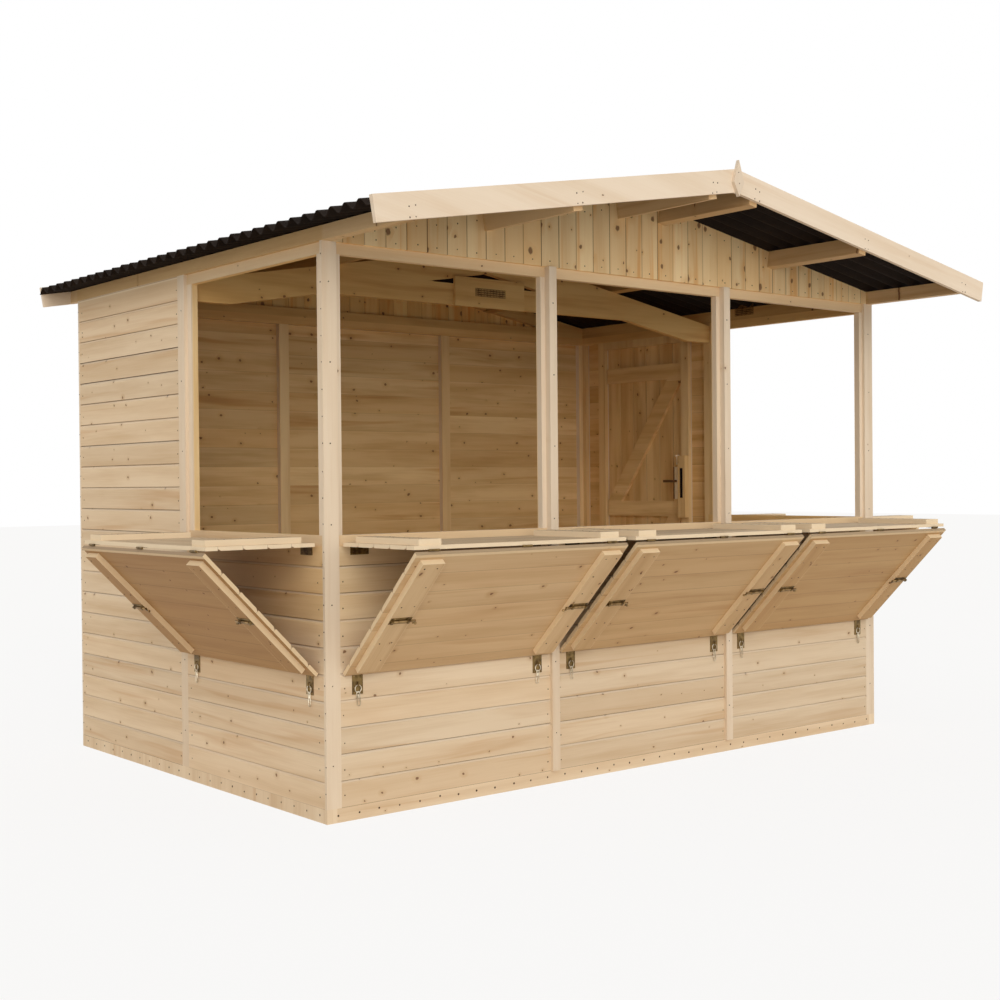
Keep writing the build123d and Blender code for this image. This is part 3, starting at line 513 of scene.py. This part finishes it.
def leafEdges(pin, along, inwards, battenStart):
    # 1 on a leaf's cut ends, on its edge at the fold, and on the sawn sides and ends of its battens
    outer = leaf["half"] - leaf["battenInset"]
    inner = outer - leaf["battenWidth"]

    def mask(parts, batten):
        across = (measure(parts, along) - pin.dot(along)).math("ABSOLUTE")
        reach = measure(parts, inwards) - pin.dot(inwards)
        boards = across.above(leaf["half"] - leaf["skin"]) + reach.below(leaf["foldGap"] + leaf["foldEdge"])
        sides = across.above(outer - leaf["skin"]) + across.below(inner + leaf["skin"])
        sides = sides + reach.below(battenStart + leaf["skin"])
        return (boards + batten * sides).math("MINIMUM", 1.0)
    return mask


def leafWood(name, look, seed, along, across, pin, gap, face, ends):
    # a leaf's boards, with battens on their face that run the other way
    boards = rows(pin.dot(across) + gap, cladding["cover"], line=leaf["line"], depth=leaf["lineDepth"])
    level = pin.dot(face) + leaf["plate"] + leaf["boards"] + leaf["margin"]
    return wood(name, look, along, across, boards, seed, ends=ends,
                turned=lambda parts: measure(parts, face).above(level))


for order, bay in enumerate(bays):
    shift = order * leaf["seedStep"]
    paint(leafWood("counter_boards_" + bay.name, counterSpruce, leaf["counterSeed"] + shift, bay.along,
                   bay.out, bay.wallPin, leaf["wallGap"], upwards,
                   leafEdges(bay.foldPin, bay.along, -bay.out, leaf["counterBatten"])),
          "counter_" + bay.name)
    paint(leafWood("prop_boards_" + bay.name, dict(leafSpruce, depth=propToneAndShade[bay.name]),
                   leaf["propSeed"] + shift, bay.along, bay.down, bay.foldPin, leaf["foldGap"], bay.face,
                   leafEdges(bay.foldPin, bay.along, bay.down, leaf["propBatten"])),
          "prop_" + bay.name)
    paint(passivated, "counter_hinges_" + bay.name, "prop_fittings_" + bay.name)
print("leaf boards")


def newObject(name, data):
    made = bpy.data.objects.new(name, data)
    bpy.context.scene.collection.objects.link(made)
    return made


def addPiece(name, bm, look, body="stall", smooth=True):
    mesh = bpy.data.meshes.new(name)
    bmesh.ops.recalc_face_normals(bm, faces=bm.faces)
    for face in bm.faces:
        face.smooth = smooth
    bm.to_mesh(mesh)
    bm.free()
    if smooth:
        mesh.set_sharp_from_angle(angle=math.radians(40))
    piece = newObject(name, mesh)
    mesh.materials.append(looks[look])
    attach(piece, body)
    return piece


def pour(single, bm, matrix=None):
    # moves a small finished form into the piece being made
    if matrix:
        bmesh.ops.transform(single, matrix=matrix, verts=single.verts)
    keep = bpy.data.meshes.new("form")
    single.to_mesh(keep)
    single.free()
    bm.from_mesh(keep)
    bpy.data.meshes.remove(keep)


def block(bm, low, high):
    middle = (Vector(low) + Vector(high)) / 2
    size = Vector(high) - Vector(low)
    matrix = Matrix.Translation(middle) @ Matrix.Diagonal((size.x, size.y, size.z, 1))
    bmesh.ops.create_cube(bm, size=1, matrix=matrix)


def cone(bm, sides, radius, tip, length, matrix=None):
    bmesh.ops.create_cone(bm, cap_ends=True, segments=sides, radius1=radius, radius2=tip, depth=length,
                          matrix=matrix or Matrix())


def bevelled(bm, edges, width, segments=1):
    bmesh.ops.bevel(bm, geom=edges, offset=width, offset_type="OFFSET", segments=segments, profile=0.5,
                    affect="EDGES", clamp_overlap=True, material=-1)


def only(items, kind):
    return [item for item in items if isinstance(item, getattr(bmesh.types, kind))]


def cutOff(single, place, normal):
    # takes away what stands past a plane, and closes the cut
    geom = single.verts[:] + single.edges[:] + single.faces[:]
    cut = bmesh.ops.bisect_plane(single, geom=geom, plane_co=place, plane_no=normal, clear_outer=True)
    bmesh.ops.holes_fill(single, edges=only(cut["geom_cut"], "BMEdge"))


def facing(spot, normal, heading=None):
    # a place on a face: z along its normal, and x along the heading where one is given
    normal = Vector(normal)
    if heading is None:
        return Matrix.Translation(spot) @ upwards.rotation_difference(normal).to_matrix().to_4x4()
    side = normal.cross(Vector(heading))
    return Matrix.Translation(spot) @ Matrix((Vector(heading), side, normal)).transposed().to_4x4()


nailHead = {"radius": 0.0032, "spread": (0.85, 1.15), "taper": 0.8, "height": 0.00098, "sides": 8,
            "jitter": 0.0035}


def nailed(name, spots, body="stall", scale=1.0):
    # nail heads at places on faces, each a little off its line
    bm = bmesh.new()
    for spot, normal in spots:
        stray = Vector([dice.uniform(-1, 1) * nailHead["jitter"] * (1 - abs(part)) for part in normal])
        radius = nailHead["radius"] * scale * dice.uniform(*nailHead["spread"])
        cone(bm, nailHead["sides"], radius, radius * nailHead["taper"], nailHead["height"],
             facing(Vector(spot) + stray, normal))
    addPiece(name, bm, "nail", body, smooth=False)


screwHead = {"radius": 0.0036, "rise": 0.0012, "taper": 0.86, "slot": 0.0006, "sides": 12, "rim": 0.42,
             "dish": 0.14}


def screwAt(bm, spot, normal, scale=1.0):
    # a countersunk head with its crowned top
    single = bmesh.new()
    radius = screwHead["radius"] * scale
    cone(single, screwHead["sides"], radius, radius * screwHead["taper"], screwHead["rise"] * scale)
    crown = [face for face in single.faces if all(vert.co.z > 0 for vert in face.verts)]
    slot = screwHead["slot"] * scale
    for thickness, depth in ((screwHead["rim"], slot), (screwHead["dish"], -2 * slot)):
        bmesh.ops.inset_region(single, faces=crown, thickness=radius * thickness, depth=depth)
    pour(single, bm, facing(spot, normal))


def boardLevels(low, high):
    # the nail line of each board between two heights
    count = int((high - low) / cladding["cover"])
    return [low + (index + cladding["nailAt"]) * cladding["cover"] for index in range(count)]


def endFaces(across, level, front, back):
    # one place on a face that looks forwards, and one on a face that looks back
    return [((across, front, level), (0, -1, 0)), ((across, back, level), (0, 1, 0))]


def sideFace(side, along, level):
    return ((side * halfWidth, along, level), (side, 0, 0))


wallNails = {"fromJoint": 0.033, "fromCorner": 0.075, "sideFront": 0.03, "sideJoint": 0.035,
             "sideBack": 0.062, "sideRear": 0.045}
spots = []
for middle in (-panelWidth, 0, panelWidth):
    for side in (-1, 1):
        limit = halfWidth - wallNails["fromCorner"]
        across = max(-limit, min(limit, middle + side * (panelWidth / 2 - wallNails["fromJoint"])))
        for edge, turn, top in ((0, -1, claddingTop), (wallDepth, 1, wallTop)):
            spots += [((across, edge, level), (0, turn, 0)) for level in boardLevels(floorTop, top)]
nailed("nails_front_and_back", spots)

sideRows = [(cladding["thickness"] + wallNails["sideFront"], claddingTop),
            (sideJoint - wallNails["sideJoint"], claddingTop),
            (sideJoint + wallNails["sideBack"], wallTop), (wallDepth - wallNails["sideRear"], wallTop)]
nailed("nails_on_the_sides", [sideFace(side, along, level) for side in (-1, 1)
                              for along, top in sideRows for level in boardLevels(floorTop, top)])

stripNails = {"pitch": 0.097, "first": 0.6, "every": 3, "cover": 0.014, "cornerIn": 0.030,
              "cornerSide": 0.007, "sideCentre": 0.0225}
spots = []
for index in range(int((wallTop - floorTop) / stripNails["pitch"])):
    level = floorTop + (index + stripNails["first"]) * stripNails["pitch"]
    for side in (-1, 1):
        if index % stripNails["every"] == 1:
            edge = -stripNails["cover"] if side < 0 else wallDepth + stripNails["cover"]
            spots += [((jointX, edge, level), (0, side, 0)) for jointX in (-panelWidth / 2, panelWidth / 2)]
            spots += endFaces(side * (halfWidth - stripNails["cornerIn"]), level, 0, wallDepth)
            spots.append(sideFace(side, sideJoint + stripNails["sideCentre"], level))
        for edge in (stripNails["cornerSide"], wallDepth - stripNails["cornerSide"]):
            spots.append(sideFace(side, edge, level))
nailed("nails_in_the_strips", spots)

baseNails = {"pitch": 0.092, "height": 0.028, "scale": 1.4}
spots = []
for index in range(int(2 * halfWidth / baseNails["pitch"])):
    spots += endFaces(-halfWidth + (index + 0.5) * baseNails["pitch"], baseNails["height"], 0, wallDepth)
for index in range(int(wallDepth / baseNails["pitch"])):
    spots += [sideFace(side, (index + 0.5) * baseNails["pitch"], baseNails["height"]) for side in (-1, 1)]
nailed("nails_in_the_base", spots, scale=baseNails["scale"])
print("nails on the walls")


def underRidge(across, drop):
    return ridgeHeight - roofSlope * abs(across) - drop


def veeBoard(low, high, vee):
    # an upright board with its long edges bevelled
    single = bmesh.new()
    block(single, low, high)
    upright = [edge for edge in single.edges if edge.verts[0].co.z != edge.verts[1].co.z]
    bevelled(single, upright, vee)
    return single


def gableSkin(name, node):
    # upright boards with a vee at each joint, cut off under the roof
    low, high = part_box(node)
    bm = bmesh.new()
    width = gableBoards["width"]
    count = math.ceil(gableHigh.x / width)
    for index in range(-count, count):
        left = max(index * width, -gableHigh.x) + gableBoards["gap"]
        right = min((index + 1) * width, gableHigh.x) - gableBoards["gap"]
        single = veeBoard((left, low.y, wallTop), (right, high.y, high.z + width), gableBoards["vee"])
        side = 1 if index >= 0 else -1
        cutOff(single, (0, 0, high.z), (side * roofSlope, 0, 1))
        pour(single, bm)
    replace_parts(addPiece(name, bm, "gable", "stall", smooth=False), node)


gableSkin("gable_boards_front", "front_gable")
gableSkin("gable_boards_rear", "rear_gable")
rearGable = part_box("rear_gable")[1].y
gableNails = {"aboveWall": 0.022, "belowRoof": 0.035, "clear": 0.02}
gableCount = int(gableHigh.x / gableBoards["width"])
spots = []
for index in range(-gableCount, gableCount):
    middle = (index + 0.5) * gableBoards["width"]
    for level in (wallTop + gableNails["aboveWall"], underRidge(middle, gableNails["belowRoof"])):
        if level < underRidge(middle, gableNails["clear"]):
            spots += endFaces(middle, level, gableLow.y, rearGable)
nailed("nails_in_the_gables", spots)
print("gable boards")

bm = bmesh.new()
for index in range(doorBoards["count"]):
    start = doorLow.y + index * doorPitch
    pour(veeBoard((doorLow.x, start + doorBoards["gap"], doorLow.z),
                  (doorHigh.x, start + doorPitch - doorBoards["gap"], doorHigh.z), doorBoards["vee"]), bm)
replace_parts(addPiece("door_boarding", bm, "door", "door", smooth=False), "door_leaf")

ledgeLow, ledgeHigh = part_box("door_ledges")
ledge = {"rise": 0.088, "middle": 1.025, "nailIn": 0.022}
ledgeFeet = (ledgeLow.z, ledge["middle"], ledgeHigh.z - ledge["rise"])
spots = []
for index in range(doorBoards["count"]):
    middle = doorLow.y + (index + 0.5) * doorPitch
    for foot in ledgeFeet:
        for level in (foot + ledge["nailIn"], foot + ledge["rise"] - ledge["nailIn"]):
            spots.append(((doorHigh.x, middle, level), (1, 0, 0)))
nailed("nails_in_the_door", spots, "door")
print("door boards")

# corrugated sheets in the CAD sheets' place, with smoother waves and their side laps
sheets = {"waves": 32, "steps": 14, "rows": 4, "wave": 0.027, "thickness": 0.003, "ridgeGap": 0.004,
          "lapLift": 0.0024, "lapShort": 0.002, "laps": ((10.35, 11.25), (20.85, 21.75)), "capCover": 0.160}
fixings = {"every": 3, "rows": (0.30, 0.86, 1.60), "radius": 0.011, "rise": 0.006, "skirt": 0.001,
           "sides": 10, "rings": 6}
sheetLow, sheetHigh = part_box("roof_sheets")
wavePitch = (sheetHigh.y - sheetLow.y) / sheets["waves"]
sheetRun = (sheetHigh.x - sheets["ridgeGap"]) / math.cos(roof["pitch"])


def onRoof(side, wave, run, lift):
    # a place on a slope: waves from the front, the run down from the ridge, the lift from the purlins
    down = Vector((side * downSlope.x, 0, downSlope.z))
    out = Vector((side * slopeUp.x, 0, slopeUp.z))
    gap = sheets["ridgeGap"]
    head = Vector((side * gap, sheetLow.y + wave * wavePitch, underRidge(gap, 0)))
    return head + down * run + out * (roof["seat"] + lift)


def corrugated(bm, side, first, last, start, stop, lift):
    single = bmesh.new()
    columns = math.ceil((last - first) * sheets["steps"])
    bmesh.ops.create_grid(single, x_segments=columns, y_segments=sheets["rows"], size=0.5)
    for vert in single.verts:
        wave = first + (vert.co.x + 0.5) * (last - first)
        height = sheets["wave"] / 2 * (1 - math.cos(2 * math.pi * wave))
        vert.co = onRoof(side, wave, start + (vert.co.y + 0.5) * (stop - start), height + lift)
    bmesh.ops.recalc_face_normals(single, faces=single.faces)
    if single.faces[0].normal.z < 0:
        bmesh.ops.reverse_faces(single, faces=single.faces)
    bmesh.ops.solidify(single, geom=single.faces[:], thickness=-sheets["thickness"])
    pour(single, bm)


bm, laps, caps = bmesh.new(), bmesh.new(), bmesh.new()
for side in (-1, 1):
    corrugated(bm, side, 0, sheets["waves"], 0, sheetRun, 0)
    for first, last in sheets["laps"]:
        corrugated(laps, side, first, last, sheets["capCover"], sheetRun - sheets["lapShort"],
                   sheets["lapLift"])
    normal = Vector((side * slopeUp.x, 0, slopeUp.z))
    for row in fixings["rows"]:
        for wave in range(1, sheets["waves"], fixings["every"]):
            spot = onRoof(side, wave + 0.5, row, sheets["wave"] + sheets["thickness"] + sheets["lapLift"])
            single = bmesh.new()
            bmesh.ops.create_uvsphere(single, u_segments=fixings["sides"], v_segments=fixings["rings"],
                                      radius=fixings["radius"])
            bmesh.ops.scale(single, vec=(1, 1, fixings["rise"] / fixings["radius"]), verts=single.verts)
            cutOff(single, (0, 0, -fixings["skirt"]), (0, 0, -1))
            pour(single, caps, facing(spot, normal))
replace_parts(addPiece("corrugated_sheets", bm, "roof", "stall"), "roof_sheets")
addPiece("sheet_laps", laps, "roof", "stall")
addPiece("roof_fixings", caps, "roof", "stall")
print("roof")

# perforated nail plates on the truss and at its heels
nailPlate = {"cell": 0.0095, "web": 0.0028, "thickness": 0.0012}
truss = {"plateLevel": 2.1435, "plate": (0.186, 0.039), "heelAlong": 0.795, "heelLevel": 2.1485,
         "heel": (0.13, 0.057)}


def perforated(bm, centre, normal, heading, width, height):
    single = bmesh.new()
    bmesh.ops.create_grid(single, x_segments=round(width / nailPlate["cell"]),
                          y_segments=round(height / nailPlate["cell"]), size=0.5)
    bmesh.ops.scale(single, vec=(width, height, 1), verts=single.verts)
    cells = single.faces[:]
    bmesh.ops.inset_individual(single, faces=cells, thickness=nailPlate["web"])
    bmesh.ops.delete(single, geom=cells, context="FACES_ONLY")
    bmesh.ops.solidify(single, geom=single.faces[:], thickness=nailPlate["thickness"])
    pour(single, bm, facing(Vector(centre) + Vector(normal) * nailPlate["thickness"], normal, heading))


innerHalf = halfWidth - cladding["thickness"] - framing["thickness"]
bm = bmesh.new()
perforated(bm, (0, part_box("truss_gusset")[0].y, truss["plateLevel"]), (0, -1, 0), (1, 0, 0), *truss["plate"])
for side in (-1, 1):
    heel = (side * innerHalf, truss["heelAlong"], truss["heelLevel"])
    perforated(bm, heel, (-side, 0, 0), (0, 1, 0), *truss["heel"])
addPiece("nail_plates", bm, "plate", smooth=False)

# barge boards: two pairs of nails at each purlin, and two nails in each finial
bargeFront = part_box("front_barge_boards")[0].y
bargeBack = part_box("rear_barge_boards")[1].y
finialLow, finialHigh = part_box("finials")
bargeNails = {"purlins": (0.126, 0.85, 1.60), "drops": (0.012, 0.052), "pair": (-0.012, 0.014),
              "finial": 0.02, "sunk": 0.0004}
spots = []
for side in (-1, 1):
    for distance in bargeNails["purlins"]:
        for drop in bargeNails["drops"]:
            for step in bargeNails["pair"]:
                across = side * (distance + step)
                spots += endFaces(across, underRidge(across, drop), bargeFront, bargeBack)
for rise in (-bargeNails["finial"], bargeNails["finial"]):
    spots += endFaces(0, (finialLow.z + finialHigh.z) / 2 + rise, finialLow.y + bargeNails["sunk"],
                      finialHigh.y - bargeNails["sunk"])
nailed("nails_in_the_barge_boards", spots)
print("roof timber")

# fittings of the serving leaves
hinge = {"foldRow": ((-0.419, 0.0, 0.419), 0.014), "wallRow": ((-0.419, 0.419), 0.028),
         "screwOut": 0.022, "axisOut": 0.0063, "wallScrewDrop": 0.018, "screwScale": 0.8}
bolt = {"middle": 0.3208, "face": 0.040, "centre": 0.0435, "radius": 0.0045, "outer": 0.467, "tail": 0.359,
        "knob": 0.0055, "knobReach": 0.014, "knobAt": 0.3535, "screwAcross": 0.011,
        "screwsAt": (0.451, 0.393)}
leafNails = {"across": 0.026, "fromBolt": 0.030, "propBoards": range(6), "counterBoards": range(1, 4)}


def roundBar(bm, start, end, radius, sides=14):
    # a round bar between two points, with softened ends
    single = bmesh.new()
    axis = end - start
    cone(single, sides, radius, radius, axis.length)
    rims = [edge for edge in single.edges if abs(edge.verts[0].co.z - edge.verts[1].co.z) < radius / 10]
    bevelled(single, rims, radius * 0.3, 2)
    pour(single, bm, facing((start + end) / 2, axis.normalized()))


def screwRow(bm, row, onLeaf, first, second, normal):
    # three screws at each hinge of a row
    middles, spread = hinge[row]
    for middle in middles:
        for step in (-spread, 0, spread):
            screwAt(bm, onLeaf(first, second, middle + step), normal, hinge["screwScale"])


for bay in bays:
    bm = bmesh.new()
    for side in (-1, 1):
        ends = [bay.onProp(bolt["middle"], bolt["centre"], side * bolt[key]) for key in ("outer", "tail")]
        roundBar(bm, *ends, bolt["radius"])
        knob = bay.onProp(bolt["middle"] + bolt["knobReach"], bolt["centre"], side * bolt["knobAt"])
        bmesh.ops.create_uvsphere(bm, u_segments=12, v_segments=8, radius=bolt["knob"],
                                  matrix=Matrix.Translation(knob))
        for across in (-bolt["screwAcross"], bolt["screwAcross"]):
            for along in bolt["screwsAt"]:
                screwAt(bm, bay.onProp(bolt["middle"] + across, bolt["face"], side * along), bay.face)
    screwRow(bm, "foldRow", bay.onProp, hinge["screwOut"], 0, -bay.face)
    addPiece("prop_screws_and_bolts_" + bay.name, bm, "zinc", "prop_leaf_" + bay.name)

    bm = bmesh.new()
    screwRow(bm, "foldRow", bay.onCounter, bay.reach - hinge["screwOut"], 0, -upwards)
    screwRow(bm, "wallRow", bay.onCounter, hinge["screwOut"], 0, -upwards)
    addPiece("counter_screws_" + bay.name, bm, "zinc", "counter_leaf_" + bay.name)

    bm = bmesh.new()
    screwRow(bm, "wallRow", bay.onCounter, leaf["plate"] - hinge["axisOut"], -hinge["wallScrewDrop"], bay.out)
    addPiece("wall_hinge_screws_" + bay.name, bm, "zinc")

    # nails through the battens, one pair to a board
    propNails, counterNails = [], []
    face = leaf["plate"] + leaf["boards"] + leaf["battens"]
    battenMiddle = leaf["half"] - leaf["battenInset"] - leaf["battenWidth"] / 2
    for side in (-1, 1):
        for step in (-leafNails["across"], leafNails["across"]):
            along = side * battenMiddle + step
            for index in leafNails["propBoards"]:
                down = leaf["foldGap"] + (index + 0.5) * cladding["cover"]
                if abs(down - bolt["middle"]) > leafNails["fromBolt"]:
                    propNails.append((bay.onProp(down, face, along), bay.face))
            for index in leafNails["counterBoards"]:
                out = leaf["wallGap"] + (index + 0.5) * cladding["cover"]
                counterNails.append((bay.onCounter(out, face, along), upwards))
    nailed("prop_nails_" + bay.name, propNails, "prop_leaf_" + bay.name)
    nailed("counter_nails_" + bay.name, counterNails, "counter_leaf_" + bay.name)
print("leaf fittings")

# snap hooks: a wire ring through each hasp's staple, and the hook's long body hanging from it
hasp = {"half": 0.434, "fromTop": 0.0375, "face": 0.003, "width": 0.046, "height": 0.075, "screwIn": 0.008}
hook = {"ring": 0.0135, "wire": 0.0017, "ringOff": 0.0026, "ringDrop": 0.0037, "ringStretch": 0.0001,
            "body": 0.0064, "bodyLength": 0.040, "sides": 8, "steps": 14, "sway": 6,
            "sleeve": 0.0036, "sleeveLength": 0.014, "sleeveTaper": 0.8, "sleeveAt": 0.25}
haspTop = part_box("hasps")[1].z


def wireRing(bm, radius, stretch):
    # a ring of wire in the XZ plane, its two halves moved apart by the stretch
    first = bmesh.ops.create_circle(bm, segments=hook["sides"], radius=hook["wire"],
                                    matrix=Matrix.Translation((radius, 0, 0)))["verts"]

    def halfTurn(geom, centre):
        swept = bmesh.ops.spin(bm, geom=geom, cent=centre, axis=(0, -1, 0), angle=math.pi,
                               steps=hook["steps"])
        return only(swept["geom_last"], "BMEdge")

    end = halfTurn(first + list({edge for vert in first for edge in vert.link_edges}), (0, 0, 0))
    run = bmesh.ops.extrude_edge_only(bm, edges=end)["geom"]
    verts = only(run, "BMVert")
    bmesh.ops.translate(bm, verts=verts, vec=(0, 0, -stretch))
    edges = [edge for edge in only(run, "BMEdge") if all(vert in verts for vert in edge.verts)]
    last = halfTurn(verts + edges, (0, 0, -stretch))
    start = [edge for edge in bm.edges if all(vert in first for vert in edge.verts)]
    bmesh.ops.bridge_loops(bm, edges=last + start)


for bay in bays:
    turn = Matrix((bay.along, bay.out, upwards)).transposed().to_4x4()
    hooks, screws = bmesh.new(), bmesh.new()
    for side in (-1, 1):
        plate = bay.onCounter(hasp["face"] - hinge["axisOut"], 0, side * hasp["half"])
        plate.z = haspTop - hasp["fromTop"]
        ringAt = plate + bay.out * hook["ringOff"] - upwards * (hook["ringDrop"] + hook["ring"])
        single = bmesh.new()
        wireRing(single, hook["ring"], hook["ringStretch"])
        pour(single, hooks, Matrix.Translation(ringAt) @ turn)
        bodyAt = ringAt - upwards * (hook["ring"] + hook["body"] - 2 * hook["wire"])
        single = bmesh.new()
        wireRing(single, hook["body"], hook["bodyLength"])
        cone(single, 12, hook["sleeve"], hook["sleeve"] * hook["sleeveTaper"], hook["sleeveLength"],
             Matrix.Translation((0, 0, -hook["bodyLength"] * hook["sleeveAt"])))
        sway = math.radians(dice.uniform(-hook["sway"], hook["sway"]))
        pour(single, hooks, Matrix.Translation(bodyAt) @ turn @ Matrix.Rotation(sway, 4, "Y"))
        for across in (-1, 1):
            for rise in (-1, 1):
                spot = plate + bay.along * across * (hasp["width"] / 2 - hasp["screwIn"])
                screwAt(screws, spot + upwards * rise * (hasp["height"] / 2 - hasp["screwIn"]), bay.out)
    addPiece("snap_hooks_" + bay.name, hooks, "hook")
    addPiece("hasp_screws_" + bay.name, screws, "zinc")
print("snap hooks")

# a dark steel tray in the slot of the lock's keep, with a narrow rim round its mouth: painted shade for the
# deep slot
slotShadeTray = {"half": 0.0057, "foot": 0.0118, "height": 0.1594, "depth": 0.027, "rim": 0.004,
          "sheet": 0.0006, "proud": 0.0004}
keepLow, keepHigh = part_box("lock_keep")
slotY = (keepLow.y + keepHigh.y) / 2
slotFoot = lockLow.z + slotShadeTray["foot"]
slotMiddle = slotFoot + slotShadeTray["height"] / 2
bm = bmesh.new()
block(bm, (keepLow.x - slotShadeTray["proud"], slotY - slotShadeTray["half"], slotFoot),
      (keepLow.x + slotShadeTray["depth"], slotY + slotShadeTray["half"], slotFoot + slotShadeTray["height"]))
bm.normal_update()
bmesh.ops.delete(bm, geom=[face for face in bm.faces if face.normal.x < -0.5], context="FACES_ONLY")
mouth = [edge for edge in bm.edges if edge.is_boundary]
for vert in only(bmesh.ops.extrude_edge_only(bm, edges=mouth)["geom"], "BMVert"):
    vert.co.y += math.copysign(slotShadeTray["rim"], vert.co.y - slotY)
    vert.co.z += math.copysign(slotShadeTray["rim"], vert.co.z - slotMiddle)
bmesh.ops.recalc_face_normals(bm, faces=bm.faces)
bmesh.ops.solidify(bm, geom=bm.faces[:], thickness=slotShadeTray["sheet"])
addPiece("lock_slot_shade_tray", bm, "slotShadeTray", smooth=False)

# screws in the door's strap hinges and in their wall plates
strap = {"thickness": 0.003, "steps": (-0.04, -0.10, -0.17, -0.235), "plateSteps": (0.022, 0.046),
         "screwScale": 1.2}
strapPin = Vector(joints["door_hinge"]["pos_m"]).y
bm, plates = bmesh.new(), bmesh.new()
for foot in (ledgeFeet[0], ledgeFeet[2]):
    for form, face, steps in ((bm, doorHigh.x, "steps"), (plates, halfWidth, "plateSteps")):
        for step in strap[steps]:
            spot = (face + strap["thickness"], strapPin + step, foot + ledge["rise"] / 2)
            screwAt(form, spot, (1, 0, 0), strap["screwScale"])
addPiece("door_hinge_screws", bm, "zinc", "door")
addPiece("door_plate_screws", plates, "zinc")
print("door fittings")

studio = {"floorSize": 40.0, "floorTone": (0.82, 0.775, 0.71, 1), "floorCloud": (0.76, 0.715, 0.65, 1),
          "cloudScale": 1.5, "cloudShare": 0.5, "whiteness": 0.86, "sky": 0.60,
          "skyTone": (1.0, 0.98, 0.95, 1), "white": (1, 1, 1, 1)}


def seenRays(shade):
    # 1 where a surface is looked at, straight or through gloss or glass, and 0 where it lights the stall
    path = shade.node("LightPath", output="Is Camera Ray")
    seen = path.math("MAXIMUM", path.beside("Is Glossy Ray"))
    return seen.math("MAXIMUM", path.beside("Is Transmission Ray"))


def floorMaterial():
    shade = Shade("studio_floor")
    cloud = shade.noise(shade.vector(*shade.place()), studio["cloudScale"])
    pale = shade.mix(cloud * studio["cloudShare"], studio["floorTone"], studio["floorCloud"])
    matt = shade.node("BsdfDiffuse", {"Color": pale})
    glow = shade.node("Emission", {"Color": studio["white"], "Strength": 1.0})
    whiter = seenRays(shade) * studio["whiteness"]
    return shade.close(shade.node("MixShader", {0: whiter, 1: matt, 2: glow}))


def skyLight():
    shade = Shade("studio_sky", "worlds")
    soft = shade.node("Background", {"Color": studio["skyTone"], "Strength": studio["sky"]})
    white = shade.node("Background", {"Color": studio["white"], "Strength": 1.0})
    return shade.close(shade.node("MixShader", {0: seenRays(shade), 1: soft, 2: white}), "World")


bpy.context.scene.world = skyLight()
bm = bmesh.new()
bmesh.ops.create_grid(bm, x_segments=1, y_segments=1, size=studio["floorSize"])
floorMesh = bpy.data.meshes.new("studio_floor")
bm.to_mesh(floorMesh)
bm.free()
floorMesh.materials.append(floorMaterial())
floor = newObject("studio_floor", floorMesh)

lamps = {
    "key_light": {"strength": 0.65, "tone": (1.0, 0.985, 0.955), "aim": (0.55, 0.75, -0.62), "spread": 38},
    "fill_light": {"strength": 1.28, "tone": (1.0, 0.96, 0.90), "aim": (0.42, 0.90, -0.06), "spread": 60},
}
for name, values in lamps.items():
    light = bpy.data.lights.new(name, "SUN")
    light.energy = values["strength"]
    light.color = values["tone"]
    light.angle = math.radians(values["spread"])
    lamp = newObject(name, light)
    lamp.rotation_euler = Vector(values["aim"]).to_track_quat("-Z", "Y").to_euler()

shot = {"place": (-4.4198, -4.3983, 1.2235), "turn": 0.68844, "down": 0.0116, "tilt": -0.00892,
        "lens": 51.95}
flat = Vector((math.cos(shot["turn"]), -math.sin(shot["turn"]), 0))
level = math.cos(shot["down"])
ahead = Vector((math.sin(shot["turn"]) * level, math.cos(shot["turn"]) * level, -math.sin(shot["down"])))
over = flat.cross(ahead)
right = flat * math.cos(shot["tilt"]) + over * math.sin(shot["tilt"])
top = over * math.cos(shot["tilt"]) - flat * math.sin(shot["tilt"])
cameraData = bpy.data.cameras.new("camera")
cameraData.lens = shot["lens"]
camera = newObject("camera", cameraData)
camera.matrix_world = Matrix.Translation(shot["place"]) @ Matrix((right, top, -ahead)).transposed().to_4x4()
bpy.context.scene.camera = camera
bpy.context.scene.view_settings.view_transform = "Standard"
print("studio")
